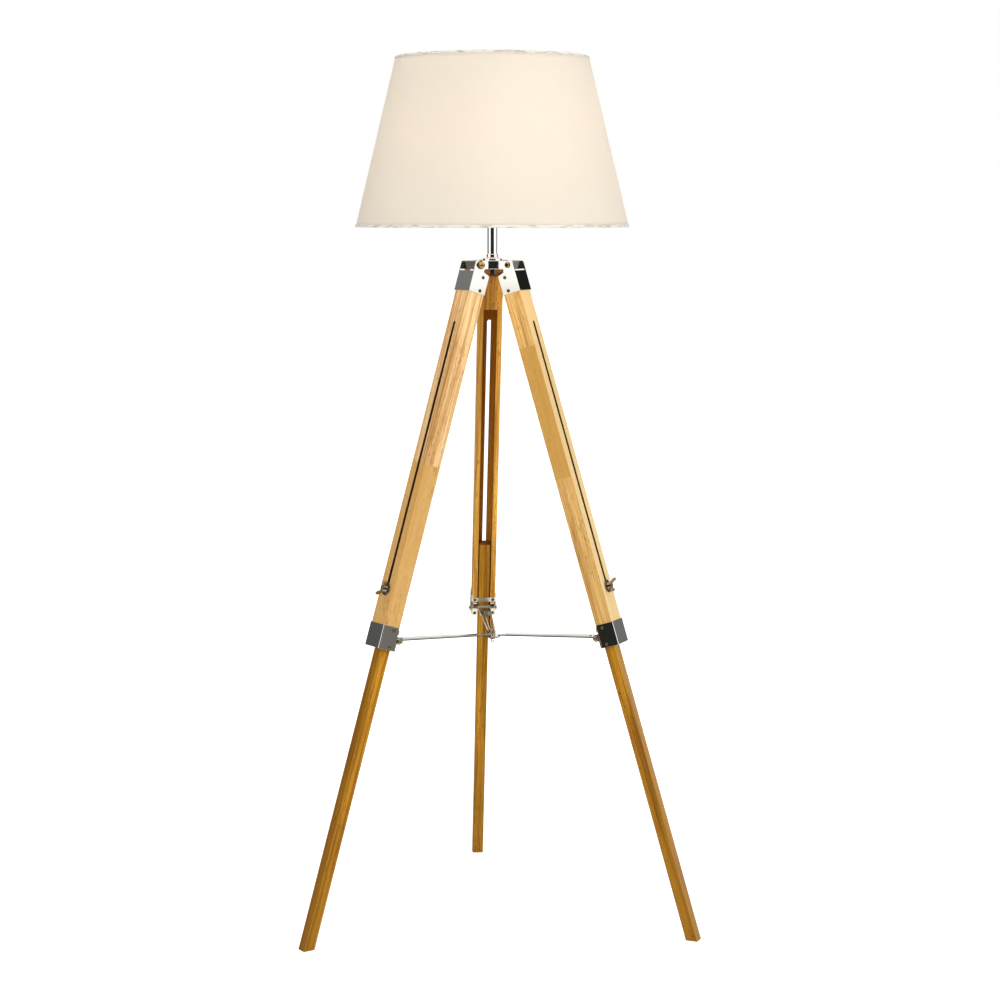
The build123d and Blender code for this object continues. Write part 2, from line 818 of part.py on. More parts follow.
def build_wing_nut(side):
    frame = leg_frame(side)
    seat = outer_face + slide_gap + washer_thickness + slide_gap
    turn = radians(wing_angles[side])
    across = frame.y_dir * sin(turn) + frame.z_dir * cos(turn)
    centre = frame.from_local_coords((seat, 0, -stud_drop))
    blade = Plane(origin=centre, x_dir=across, z_dir=across.cross(frame.x_dir))
    with BuildPart() as wing_nut:
        with BuildSketch(Plane(origin=centre, z_dir=frame.x_dir)):
            Circle(wing_boss_radius)
        extrude(amount=wing_boss_height, taper=wing_boss_taper)
        with BuildSketch(blade):
            for direction in (-1, 1):
                with BuildLine():
                    Polyline(
                        (direction * wing_root, 0.6),
                        (direction * (wing_span - 5), wing_rise - 3.5),
                        (direction * wing_span, wing_rise + 1),
                        (direction * (wing_span - 3), wing_rise + wing_width - 2),
                        (direction * (wing_span - 9), wing_rise + wing_width - 6),
                        (direction * wing_root, wing_boss_height - 0.4),
                        close=True,
                    )
                make_face()
        extrude(amount=wing_thickness / 2, both=True)
        tips = wing_nut.edges().filter_by(lambda e: abs(e.length - wing_thickness) < 0.01)
        far = tips.filter_by(lambda e: abs((e.center() - centre).dot(across)) > wing_span - 6)
        fillet(far, radius=wing_tip_radius)
        with BuildSketch(Plane(origin=centre, z_dir=frame.x_dir)):
            Circle(stud_radius + turn_clearance)
        extrude(amount=wing_boss_height + wing_rise + wing_width, mode=Mode.SUBTRACT)
    return wing_nut.part


# ======================= spreader =======================


def build_arm(side):
    frame = arm_frame(side)
    length = arm_reach(side) - tip_radius
    root = channel_width / 2 - arm_side_gap
    tip = arm_tip_width / 2
    barrel_side = Plane(
        origin=frame.from_local_coords((0, root, 0)), x_dir=frame.x_dir, z_dir=-frame.y_dir
    )
    with BuildPart() as arm:
        with BuildSketch(frame.offset(-arm_thickness / 2)):
            with BuildLine():
                Polyline((0, -root), (length - tip, -tip), (length - tip, tip), (0, root), close=True)
            make_face()
            with Locations((length - tip, 0)):
                Circle(tip)
        extrude(amount=arm_thickness)
        with BuildSketch(barrel_side):
            Circle(barrel_radius)
        extrude(amount=2 * root)
        with BuildSketch(frame.offset(arm_thickness / 2)):
            with Locations((length / 2, 0)):
                SlotOverall(length - 2 * bead_margin, bead_width)
        extrude(amount=bead_height, taper=bead_taper)
        with BuildSketch(barrel_side):
            Circle(pin_radius + turn_clearance)
        extrude(amount=2 * root, mode=Mode.SUBTRACT)
    return arm.part


def build_back_arm():
    """The back arm, with the plate under its end that carries the centre bolt."""
    frame = arm_frame("back")
    centre = arm_reach("back")
    top = -arm_thickness / 2 - plate_gap
    with BuildPart() as back_arm:
        add(build_arm("back"))
        with BuildSketch(frame.offset(top - centre_plate_thickness)):
            with Locations((centre, 0)):
                Circle(centre_plate_radius)
            with Locations((centre - tongue_reach / 2, 0)):
                Rectangle(tongue_reach, tongue_width)
            with Locations((centre, 0)):
                Circle(centre_bolt_radius + bore_clearance, mode=Mode.SUBTRACT)
        extrude(amount=centre_plate_thickness)
        with BuildSketch(frame.offset(top)):
            with Locations((centre - (tongue_reach + tip_radius) / 2, 0)):
                Rectangle(tongue_reach - tip_radius, tongue_width)
        extrude(amount=plate_gap)
    return back_arm.part


def build_centre_bolt():
    frame = arm_frame("back")
    centre = arm_reach("back")
    top = -arm_thickness / 2 - plate_gap
    bottom = top - centre_plate_thickness
    with BuildPart() as centre_bolt:
        with BuildSketch(frame.offset(top)):
            with Locations((centre, 0)):
                Circle(centre_head_radius)
        extrude(amount=centre_head_height, taper=centre_head_taper)
        with BuildSketch(frame.offset(bottom)):
            with Locations((centre, 0)):
                Circle(centre_bolt_radius)
        extrude(amount=centre_plate_thickness)
        with BuildSketch(frame.offset(bottom - centre_nut_height)):
            with Locations((centre, 0)):
                RegularPolygon(centre_nut_radius, 6)
        extrude(amount=centre_nut_height)
    return centre_bolt.part


def build_centre_clip():
    frame = arm_frame("back")
    centre = arm_reach("back")
    nut_end = -arm_thickness / 2 - plate_gap - centre_plate_thickness - centre_nut_height
    legs = Plane(
        origin=frame.from_local_coords((centre, 0, nut_end)), x_dir=frame.y_dir, z_dir=-frame.x_dir
    )
    with BuildPart() as centre_clip:
        with BuildLine(legs) as wire:
            down = Line((-clip_bend_radius, 0), (-clip_bend_radius, clip_drop))
            bend = JernArc(start=down @ 1, tangent=down % 1, radius=clip_bend_radius, arc_size=-180)
            Line(bend @ 1, bend @ 1 - (down % 1) * clip_hook)
        with BuildSketch(Plane(origin=wire.line @ 0, z_dir=wire.line % 0)):
            Circle(clip_wire_radius)
        sweep()
    return centre_clip.part


def save(node, part):
    part = part.moved(Location((0, -box_middle, 0)))
    part.label = node
    export_step(part, f"parts/{node}.step")


save("hub", build_hub())
save("pivot_bolts", build_pivot_bolts())
save("pivot_nuts", build_pivot_nuts())
save("cord_bush", build_cord_bush())
save("hub_flange", build_hub_flange())
save("stem", build_stem())
save("stem_ring", build_stem_ring())
save("holder_cup", build_holder_cup())
save("holder_skirt", build_holder_skirt())
save("shade_clamp", build_shade_clamp())
save("bulb_base", build_bulb_base())
save("bulb_glass", build_bulb_glass())
save("shade_cover", build_shade_cover())
save("shade_hem_bottom", build_shade_hem(hem_radius, spoke_turns))
save("shade_hem_top", build_shade_hem(shade_height - hem_radius, ()))
save("shade_top_hoop", build_top_hoop())
save("shade_frame", build_shade_frame())

for side in leg_azimuths:
    save(f"upper_leg_{side}", build_upper_leg(side))
    save(f"cap_{side}", build_cap(side))
    save(f"collar_{side}", build_collar(side))
    save(f"strap_{side}", build_strap(side))
    save(f"hinge_leaves_{side}", build_hinge_leaves(side))
    save(f"leg_screws_{side}", build_leg_screws(side))
    save(f"spreader_pin_{side}", build_spreader_pin(side))
    save(f"lower_leg_{side}", build_lower_leg(side))
    save(f"clamp_stud_{side}", build_clamp_stud(side))
    save(f"washer_{side}", build_washer(side))
    save(f"wing_nut_{side}", build_wing_nut(side))
    save(f"arm_{side}", build_back_arm() if side == "back" else build_arm(side))

save("centre_bolt", build_centre_bolt())
save("centre_clip", build_centre_clip())
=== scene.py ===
# %% [markdown]
# # A tripod floor lamp
# The lamp's construction arrives as a fixed frame: every timber, plate, pin and
# wire is already at its real size and place. This lesson gives it its looks.
# Where a construction piece has the right shape it keeps it and gets a finish;
# where the real piece has more to show, such as a screw's cross or a stud's
# thread, a finer piece is built over it and takes its place.

# %% Load the frame
import json
import math
import random

import bmesh
import bpy
from mathutils import Matrix, Vector, noise


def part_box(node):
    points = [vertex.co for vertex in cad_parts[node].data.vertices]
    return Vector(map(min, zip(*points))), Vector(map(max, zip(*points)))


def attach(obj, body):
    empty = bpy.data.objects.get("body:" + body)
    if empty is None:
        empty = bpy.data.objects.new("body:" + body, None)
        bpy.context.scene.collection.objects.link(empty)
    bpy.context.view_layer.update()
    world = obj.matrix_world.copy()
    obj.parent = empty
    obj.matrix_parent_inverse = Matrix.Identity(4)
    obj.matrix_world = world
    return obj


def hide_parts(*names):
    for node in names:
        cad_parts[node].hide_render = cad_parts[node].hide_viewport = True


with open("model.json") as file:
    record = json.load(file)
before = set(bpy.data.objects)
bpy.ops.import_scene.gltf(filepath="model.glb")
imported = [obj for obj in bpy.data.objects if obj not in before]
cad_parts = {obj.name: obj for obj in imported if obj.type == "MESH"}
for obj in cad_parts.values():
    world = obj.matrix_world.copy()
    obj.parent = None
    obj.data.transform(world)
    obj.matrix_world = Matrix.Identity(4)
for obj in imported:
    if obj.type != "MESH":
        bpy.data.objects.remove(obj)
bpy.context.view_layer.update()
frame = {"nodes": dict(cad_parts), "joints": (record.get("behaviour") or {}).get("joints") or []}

MM = 0.001
joints = {joint["name"]: joint for joint in frame["joints"]}
sides = ("back", "left", "right")


def add_object(name, data):
    """A new object in the scene."""
    made = bpy.data.objects.new(name, data)
    bpy.context.scene.collection.objects.link(made)
    return made


# %% [markdown]
# ## Finding our way round the lamp
# A leg leans and points its own way, so nothing on it lines up with X, Y or Z.
# The joints know better: the hub bolt gives a leg's origin and the direction
# across it, the wing nut's axis points out of its face, and the slide runs up
# along it. Those three directions make a leg's own frame, and every screw, stud
# and grain line is placed in it.

# %% The lamp's axis and the legs' frames
stem_low, stem_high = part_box("stem")
lamp_axis = (stem_low + stem_high) / 2
lamp_axis.z = 0.0


def leg_frame(side):
    """Matrix of a leg's frame: X out of the leg, Y across it, Z up along it."""
    out = Vector(joints[f"wing_turn_{side}"]["axis"])
    across = Vector(joints[f"fold_{side}"]["axis"])
    up = Vector(joints[f"leg_slide_{side}"]["axis"])
    axes = Matrix((out, across, up)).transposed().to_4x4()
    return Matrix.Translation(joints[f"fold_{side}"]["pos_m"]) @ axes


def reach_in(matrix, node):
    """Lowest and highest corner of a construction node in the frame of a matrix."""
    back = matrix.inverted()
    points = [back @ v.co for v in frame["nodes"][node].data.vertices]
    low = Vector(min(p[i] for p in points) for i in range(3))
    high = Vector(max(p[i] for p in points) for i in range(3))
    return low, high


legs = {side: leg_frame(side) for side in sides}
print("lamp axis at", [round(x, 4) for x in lamp_axis])

# %% [markdown]
# ## The camera
# A long lens from well back keeps the three legs from splaying. It stands a
# little to the left of the lamp, at shoulder height, and looks slightly down.

# %% Camera
camera_distance = 3.710
camera_height = 1.168
camera_azimuth = math.radians(-4.44)
camera_pitch = math.radians(-7.14)
camera_turn = math.radians(-0.195)

to_camera = Vector((math.sin(camera_azimuth), -math.cos(camera_azimuth), 0))
camera_data = bpy.data.cameras.new("camera")
camera_data.lens = 81.0
camera_data.sensor_width = 36.0
camera = add_object("camera", camera_data)
camera.location = lamp_axis + to_camera * camera_distance + Vector((0, 0, camera_height))
camera.rotation_euler = (math.pi / 2 + camera_pitch, 0, camera_azimuth + camera_turn)
bpy.context.scene.camera = camera
print("camera", [round(x, 3) for x in camera.location])

# %% [markdown]
# ## The studio
# Polished plate shows what stands round it, so the studio is drawn for the
# reflections first: two tall white screens, left and right of the camera, a dark
# gap between them where the camera stands, and a dim room behind the lamp. A
# chrome tube between such screens shows a black line down its middle with a
# white one on each side. The camera itself sees plain white behind the lamp.

# %% Node helpers
def add_node(tree, kind, inputs=None, **settings):
    """A shader node with its settings, and its inputs as values or as links."""
    made = tree.nodes.new(kind)
    for name, value in settings.items():
        setattr(made, name, value)
    for name, value in (inputs or {}).items():
        if isinstance(value, bpy.types.NodeSocket):
            tree.links.new(value, made.inputs[name])
        else:
            made.inputs[name].default_value = value
    return made


def calc(tree, operation, a, b=0.0, c=0.0, clamp=False):
    """The result of one Math node."""
    made = add_node(tree, "ShaderNodeMath", {0: a, 1: b, 2: c}, operation=operation)
    made.use_clamp = clamp
    return made.outputs[0]


def product(tree, first, *others):
    """All the values multiplied together."""
    for other in others:
        first = calc(tree, "MULTIPLY", first, other)
    return first


def vector_math(tree, operation, *values):
    """The outputs, Vector and Value, of one Vector Math node."""
    return add_node(tree, "ShaderNodeVectorMath", dict(enumerate(values)), operation=operation).outputs


def parts_of(tree, vector):
    """A vector's X, Y and Z."""
    return add_node(tree, "ShaderNodeSeparateXYZ", {0: vector}).outputs


def join_parts(tree, x, y):
    """A vector with no Z."""
    return add_node(tree, "ShaderNodeCombineXYZ", {0: x, 1: y, 2: 0.0}).outputs[0]


def surface_place(tree):
    """Where a point of a piece is, in metres. It stays with the piece as that moves."""
    return add_node(tree, "ShaderNodeTexCoord").outputs["Object"]


def ramp(tree, value, low, high, to_low=0.0, to_high=1.0):
    """value between low and high, eased into to_low to to_high."""
    inputs = {"Value": value, "From Min": low, "From Max": high, "To Min": to_low, "To Max": to_high}
    made = add_node(tree, "ShaderNodeMapRange", inputs, interpolation_type="SMOOTHSTEP")
    return made.outputs["Result"]


def pick(tree, share, a, b):
    """a where share is 0, b where it is 1, and a blend between."""
    return add_node(tree, "ShaderNodeMix", {0: share, 2: a, 3: b}).outputs[0]


def blend_colours(tree, share, a, b, kind="MIX"):
    """Colour a where share is 0, b where it is 1, and a blend between."""
    made = add_node(tree, "ShaderNodeMix", {0: share, 6: a, 7: b}, data_type="RGBA")
    made.blend_type = kind
    return made.outputs[2]


def direction_share(tree, direction, towards):
    """Cosine between a direction socket and a fixed direction."""
    return vector_math(tree, "DOT_PRODUCT", direction, Vector(towards).normalized())["Value"]


# %% World
dark_gap = 40  # degrees either side of the camera
screen_end = {"left": 92, "right": 106}  # degrees round from the camera
screen_level, gap_level, back_level = 1.2, 0.02, 0.02
soft_share = 0.54  # of the screens' light that reaches matt surfaces


def build_world():
    """The studio as polished metal sees it: a level for each direction round the lamp."""
    world = bpy.data.worlds.new("studio")
    world.use_nodes = True
    tree = world.node_tree
    tree.nodes.clear()
    direction = add_node(tree, "ShaderNodeTexCoord").outputs["Generated"]
    flat = vector_math(tree, "MULTIPLY", direction, (1, 1, 0))["Vector"]
    flat = vector_math(tree, "NORMALIZE", flat)["Vector"]
    facing = direction_share(tree, flat, to_camera)
    to_right = direction_share(tree, flat, to_camera.cross(Vector((0, 0, -1))))
    height = direction_share(tree, direction, (0, 0, 1))
    angle = calc(tree, "MULTIPLY", calc(tree, "ARCCOSINE", facing), 180 / math.pi)
    right = calc(tree, "GREATER_THAN", to_right, 0.0)
    end = pick(tree, right, screen_end["left"], screen_end["right"])
    room_left = ramp(tree, height, 0.12, 0.34, 0.09, 0.21)
    room_right = ramp(tree, height, 0.12, 0.2, 0.17, 0.015)
    room = pick(tree, right, room_left, room_right)
    room = pick(tree, ramp(tree, angle, 132, 142), room, back_level)
    over_floor, under_top = ramp(tree, height, 0.07, 0.10), ramp(tree, height, 0.3, 0.4, 1, 0)
    low_strip = product(tree, over_floor, under_top, ramp(tree, angle, 152, 158))
    room = pick(tree, low_strip, room, 1.2)
    past_end = ramp(tree, calc(tree, "SUBTRACT", angle, end), 0, 6)
    level = pick(tree, past_end, screen_level, room)
    level = pick(tree, ramp(tree, angle, dark_gap - 2, dark_gap + 2), gap_level, level)
    level = pick(tree, ramp(tree, height, 0.45, 0.85), level, 0.9)
    seen_by = add_node(tree, "ShaderNodeLightPath").outputs
    level = pick(tree, seen_by["Is Diffuse Ray"], level, calc(tree, "MULTIPLY", level, soft_share))
    level = pick(tree, seen_by["Is Camera Ray"], level, 1.0)
    background = add_node(tree, "ShaderNodeBackground", {"Color": (1, 1, 1, 1), "Strength": level})
    output = add_node(tree, "ShaderNodeOutputWorld")
    tree.links.new(background.outputs[0], output.inputs["Surface"])
    bpy.context.scene.world = world


build_world()
bpy.context.scene.view_settings.view_transform = "Standard"
print("world built")

# %% Floor and lights
def build_floor():
    """A pale matt floor. In polished metal it shows levels of its own: bright near the
    lamp, then dim, less so on the right, and far off bright except towards the camera."""
    half = 30.0
    data = bpy.data.meshes.new("floor")
    corners = [(-half, -half, 0), (half, -half, 0), (half, half, 0), (-half, half, 0)]
    data.from_pydata(corners, [], [(0, 1, 2, 3)])
    floor = add_object("floor", data)
    material = bpy.data.materials.new("pale_floor")
    material.use_nodes = True
    tree = material.node_tree
    tree.nodes.clear()
    place = surface_place(tree)
    offset = vector_math(tree, "SUBTRACT", place, lamp_axis)["Vector"]
    away = vector_math(tree, "LENGTH", offset)["Value"]
    bearing = vector_math(tree, "NORMALIZE", offset)["Vector"]
    ahead = direction_share(tree, bearing, to_camera)
    beside = direction_share(tree, place, (1, 0, 0))
    middle = pick(tree, calc(tree, "GREATER_THAN", beside, 0.0), 0.022, 0.17)
    mirrored = pick(tree, ramp(tree, away, 1.0, 1.8), 1.0, middle)
    far = ramp(tree, ahead, 0.80, 0.86, 0.95, gap_level)
    mirrored = pick(tree, ramp(tree, away, 4.5, 7.0), mirrored, far)
    warm = add_node(tree, "ShaderNodeCombineColor", {0: 1.0, 1: 0.97, 2: 0.86}).outputs[0]
    in_metal = add_node(tree, "ShaderNodeEmission", {"Color": warm, "Strength": mirrored})
    rays = add_node(tree, "ShaderNodeLightPath").outputs
    surface = add_node(tree, "ShaderNodeBsdfDiffuse", {"Color": (0.8, 0.8, 0.8, 1)})
    lift = calc(tree, "MULTIPLY", ramp(tree, away, 0.3, 1.6, 0.62, 1.0), rays["Is Camera Ray"])
    wash = add_node(tree, "ShaderNodeEmission", {"Color": (1, 1, 1, 1), "Strength": lift})
    both = add_node(tree, "ShaderNodeAddShader", {0: surface.outputs[0], 1: wash.outputs[0]})
    shown = {0: rays["Is Glossy Ray"], 1: both.outputs[0], 2: in_metal.outputs[0]}
    either = add_node(tree, "ShaderNodeMixShader", shown)
    output = add_node(tree, "ShaderNodeOutputMaterial")
    tree.links.new(either.outputs[0], output.inputs["Surface"])
    data.materials.append(material)


def add_light(name, data, place):
    """A light that is felt but not seen, in the room or in polished metal."""
    light = add_object(name, data)
    light.location = place
    light.visible_camera = False
    light.visible_glossy = False
    return light


def soft_light(name, place, aim, size, power, tint=(1, 1, 1)):
    """A square soft light at place, turned to aim, both measured from the lamp's foot."""
    data = bpy.data.lights.new(name, "AREA")
    data.size, data.energy, data.color = size, power, tint
    light = add_light(name, data, lamp_axis + Vector(place))
    light.rotation_euler = (Vector(aim) - Vector(place)).to_track_quat("-Z", "Y").to_euler()


build_floor()
soft_light("key", (3.0, -1.5, 1.5), (0, 0, 0.7), 1.3, 50, (1.0, 0.96, 0.90))
soft_light("second", (-1.5, -3.2, 1.6), (0, 0, 0.8), 1.3, 62, (1.0, 0.96, 0.90))
soft_light("top", (0.0, 0.4, 3.4), (0, 0, 0), 2.4, 30)
print("floor and three lights")

# %% [markdown]
# ## Finishes
# A finish is more than a colour. Wear, grain, weave and dust are each drawn once,
# as a node group with named inputs, and every material that needs one places it
# with its own values. The groups put out colours, values and heights only; the
# shader stays in the material, where its gloss can be read.

# %% Making groups and materials
COLOUR, VALUE, VECTOR = "NodeSocketColor", "NodeSocketFloat", "NodeSocketVector"
group_outputs = {"Colour": COLOUR, "Roughness": VALUE, "Height": VALUE}


def new_group(name, inputs):
    """An empty node group with the inputs given, as (the group, its inputs)."""
    tree = bpy.data.node_groups.new(name, "ShaderNodeTree")
    for label, kind, default in inputs:
        socket = tree.interface.new_socket(label, in_out="INPUT", socket_type=kind)
        if default is not None:
            socket.default_value = default
    for label, kind in group_outputs.items():
        tree.interface.new_socket(label, in_out="OUTPUT", socket_type=kind)
    return tree, tree.nodes.new("NodeGroupInput").outputs


def finish_group(tree, *values):
    """Sends a group's colour, roughness and height out."""
    result = tree.nodes.new("NodeGroupOutput").inputs
    for label, value in zip(group_outputs, values):
        tree.links.new(value, result[label])


def place_group(tree, name, inputs):
    """The outputs of a group that is placed in a material, with these inputs."""
    return add_node(tree, "ShaderNodeGroup", inputs, node_tree=bpy.data.node_groups[name]).outputs


def new_material(name):
    """A material with one Principled shader, as (material, its tree, the shader)."""
    material = bpy.data.materials.new(name)
    material.use_nodes = True
    tree = material.node_tree
    tree.nodes.clear()
    shader = add_node(tree, "ShaderNodeBsdfPrincipled")
    output = add_node(tree, "ShaderNodeOutputMaterial")
    tree.links.new(shader.outputs[0], output.inputs["Surface"])
    return material, tree, shader


def feed(tree, shader, colour, roughness, normal=None):
    """Links what varies over a surface to its shader."""
    tree.links.new(colour, shader.inputs["Base Color"])
    tree.links.new(roughness, shader.inputs["Roughness"])
    if normal is not None:
        tree.links.new(normal, shader.inputs["Normal"])


def set_inputs(shader, **values):
    """Sets a shader's plain sockets, with _ for a space in their names."""
    for name, value in values.items():
        shader.inputs[name.replace("_", " ")].default_value = value


def bump(tree, height, distance, soft_edge=0.0):
    """A Bump node for a height between 0 and 1, over edges rounded by soft_edge."""
    inputs = {"Height": height, "Distance": distance}
    if soft_edge:
        rounded = add_node(tree, "ShaderNodeBevel", {"Radius": soft_edge}, samples=4)
        inputs["Normal"] = rounded.outputs[0]
    return add_node(tree, "ShaderNodeBump", inputs).outputs[0]


def stretched_noise(tree, place, scale, detail=2.0, rough=0.5):
    """Noise at place, with its own scale along each axis."""
    spread = vector_math(tree, "MULTIPLY", place, scale)["Vector"]
    inputs = {"Vector": spread, "Scale": 1.0, "Detail": detail, "Roughness": rough}
    return add_node(tree, "ShaderNodeTexNoise", inputs).outputs[0]


def patches(tree, place, scale, low, high, detail, rough=0.5):
    """Soft-edged patches: 0 where a stretched noise is under low, 1 where it is over high."""
    return ramp(tree, stretched_noise(tree, place, scale, detail, rough), low, high)


# %% [markdown]
# ### Rubberwood
# The legs are pale plantation timber: straight fine grain, soft bands of tone a
# few millimetres wide, short brown pore lines and the odd pin knot. Long parts
# are finger-jointed from shorter staves, so the tone steps at a zigzag line. The
# grain runs along each leg, which a rotation into the leg's frame takes care of.

# %% Wood grain group
def build_grain_group():
    """Grain along Z, with finger joints at two heights and open pores."""
    tree, given = new_group(
        "wood_grain",
        [
            ("Place", VECTOR, None),
            ("Facing", VECTOR, None),
            ("Plank", VECTOR, None),
            ("Light", COLOUR, (0.8, 0.6, 0.35, 1)),
            ("Dark", COLOUR, (0.5, 0.3, 0.12, 1)),
            ("Pores", VALUE, 0.5),
            ("Joint High", VALUE, 10.0),
            ("Joint Low", VALUE, 10.0),
            ("Middle Tone", COLOUR, (0.5, 0.3, 0.12, 1)),
        ],
    )
    parts = parts_of(tree, given["Place"])
    teeth = calc(tree, "MULTIPLY", calc(tree, "PINGPONG", parts[1], 0.0022), 3.0)
    up = calc(tree, "ADD", parts[2], teeth)
    below_high = ramp(tree, calc(tree, "SUBTRACT", given["Joint High"], up), -0.0003, 0.0003)
    above_low = ramp(tree, calc(tree, "SUBTRACT", up, given["Joint Low"]), -0.0003, 0.0003)
    below_low = calc(tree, "SUBTRACT", 1.0, above_low)
    stave = calc(tree, "MULTIPLY", below_high, above_low)
    apart = join_parts(tree, product(tree, stave, 0.37), product(tree, below_low, 0.71))
    place = vector_math(tree, "ADD", given["Place"], given["Plank"])["Vector"]
    place = vector_math(tree, "ADD", place, apart)["Vector"]
    sway = stretched_noise(tree, place, (3, 3, 2.2), 1.0)
    bend = join_parts(tree, product(tree, sway, 0.02), product(tree, sway, 0.03))
    place = vector_math(tree, "ADD", place, bend)["Vector"]

    bands = patches(tree, place, (75, 75, 1.4), 0.42, 0.58, 2.0)
    streaks = patches(tree, place, (230, 230, 4), 0.44, 0.58, 3.0, 0.6)
    clouds = patches(tree, place, (16, 16, 5), 0.38, 0.66, 1.0)
    flecks = patches(tree, place, (400, 400, 70), 0.58, 0.66, 2.0, 0.6)
    spotted = patches(tree, place, (22, 22, 7), 0.46, 0.62, 1.0)
    pores = patches(tree, place, (1900, 1900, 120), 0.58, 0.68, 1.0)
    threads = patches(tree, place, (520, 520, 8), 0.43, 0.60, 2.0, 0.6)
    share = calc(tree, "MULTIPLY", bands, 0.24)
    share = calc(tree, "MULTIPLY_ADD", streaks, 0.34, share)
    share = calc(tree, "MULTIPLY_ADD", threads, 0.26, share)
    share = calc(tree, "MULTIPLY_ADD", clouds, 0.18, share, clamp=True)
    dark = blend_colours(tree, stave, given["Dark"], given["Middle Tone"])
    light = blend_colours(tree, product(tree, stave, 0.78), given["Light"], given["Middle Tone"])
    colour = blend_colours(tree, share, light, dark)
    marks = product(tree, flecks, pick(tree, spotted, 0.2, 1.0))
    marks = calc(tree, "MAXIMUM", marks, product(tree, pores, 0.35))
    marks = product(tree, marks, given["Pores"])
    burnt = blend_colours(tree, 0.75, given["Dark"], (0.24, 0.07, 0.012, 1))
    colour = blend_colours(tree, marks, colour, burnt)

    cut = ramp(tree, calc(tree, "ABSOLUTE", parts_of(tree, given["Facing"])[2]), 0.72, 0.86)
    off_pith = vector_math(tree, "ADD", given["Place"], (0.03, 0.045, 0))["Vector"]
    rings = add_node(
        tree, "ShaderNodeTexWave",
        {"Vector": off_pith, "Scale": 90.0, "Distortion": 2.0, "Detail": 2.0},
        wave_type="RINGS", rings_direction="Z",
    ).outputs["Fac"]
    soaked = blend_colours(tree, 0.55, colour, burnt)
    soaked = blend_colours(tree, product(tree, rings, 0.35), soaked, burnt)
    colour = blend_colours(tree, cut, colour, soaked)

    rough = calc(tree, "MULTIPLY_ADD", streaks, 0.12, 0.34)
    rough = calc(tree, "MULTIPLY_ADD", cut, 0.25, rough)
    height = calc(tree, "SUBTRACT", calc(tree, "MULTIPLY_ADD", streaks, -0.35, 1.0), marks)
    finish_group(tree, colour, rough, height)


build_grain_group()

# %% [markdown]
# The cutter leaves the channel rough and thirsty, so stain sinks in and darkens it,
# and painted shade darkens it further. The slot, which lies in shade, is painted almost
# black: painted shade. Where the timber's place says that a surface lies inside the cut, the darker tone
# takes over.

# %% Wood materials
def leg_place(tree, side):
    """Places and facings in a leg's frame."""
    back = legs[side].to_3x3().transposed()
    turn = back.to_euler("XYZ")
    given = add_node(tree, "ShaderNodeTexCoord").outputs
    place = add_node(
        tree, "ShaderNodeMapping",
        {"Vector": given["Object"], "Rotation": turn, "Location": -(back @ legs[side].translation)},
    ).outputs[0]
    turned_by = {"Vector": given["Normal"], "Rotation": turn}
    facing = add_node(tree, "ShaderNodeMapping", turned_by, vector_type="VECTOR").outputs[0]
    return place, facing


def inside_cut(tree, place, side):
    """A mask of a leg's channel and one of its slot."""
    low, high = reach_in(legs[side], f"upper_leg_{side}")
    floor = reach_in(legs[side], f"lower_leg_{side}")[1].x + 0.5 * MM
    half = (high.y - low.y) / 2
    out, across, up = parts_of(tree, place)
    aside = calc(tree, "ABSOLUTE", across)
    under_top = calc(tree, "LESS_THAN", up, high.z - 20 * MM)

    def cut_between(half_width, inner, outer):
        within = calc(tree, "LESS_THAN", aside, half_width)
        past_inner = calc(tree, "GREATER_THAN", out, inner)
        short_of_outer = calc(tree, "LESS_THAN", out, outer)
        return product(tree, within, past_inner, short_of_outer, under_top)

    channel = cut_between(half * 0.6, low.x + 0.4 * MM, floor)
    slot = cut_between(half * 0.19, floor, high.x - 0.5 * MM)
    return channel, slot


def wood_material(
    name, side, light, dark, pores, plank, gloss, cut=None, staves=None, painted_face_light=None, foot=0.0
):
    """A timber's finish. cut is the channel's tone, real stain with painted shade, staves is
    two joints and a tone, the outer-face pair is a share and the tone that it gives the outer
    face, painted light on a lit face and painted shade on a shaded one, and foot is how much darker the
    lower end is made."""
    material, tree, shader = new_material(name)
    place, facing = leg_place(tree, side)
    inputs = {
        "Place": place, "Facing": facing, "Plank": plank, "Light": light, "Dark": dark, "Pores": pores,
    }
    if staves:
        inputs.update({"Joint High": staves[0], "Joint Low": staves[1], "Middle Tone": staves[2]})
    grain = place_group(tree, "wood_grain", inputs)
    colour, rough = grain["Colour"], grain["Roughness"]
    # Painted light and shade: the outer face is made lighter where light falls on it and darker where it
    # is in shade.
    if painted_face_light:
        outward = parts_of(tree, facing)[0]
        colour = blend_colours(tree, ramp(tree, outward, 0.6, 0.9, 0.0, painted_face_light[0]), colour, painted_face_light[1])
    # Darker towards the bottom.
    if foot:
        low = reach_in(legs[side], f"lower_leg_{side}")[0].z
        up = parts_of(tree, place)[2]
        colour = blend_colours(tree, ramp(tree, up, low, low + 0.5, foot, 0.0), colour, foot_dark_tone)
    # The channel's tone is real stain with painted shade; the slot is painted shade, nearly black.
    if cut:
        channel, slot = inside_cut(tree, place, side)
        stain_and_painted_shade = blend_colours(tree, 0.72, colour, cut)
        colour = blend_colours(tree, channel, colour, stain_and_painted_shade)
        colour = blend_colours(tree, product(tree, slot, 0.97), colour, painted_slot_shade)
        rough = calc(tree, "MAXIMUM", rough, product(tree, calc(tree, "MAXIMUM", channel, slot), 0.9))
    feed(tree, shader, colour, rough, bump(tree, grain["Height"], 0.00015, 0.0006))
    set_inputs(shader, Specular_IOR_Level=gloss, Coat_Weight=0.1 * gloss, Coat_Roughness=0.3)
    return material


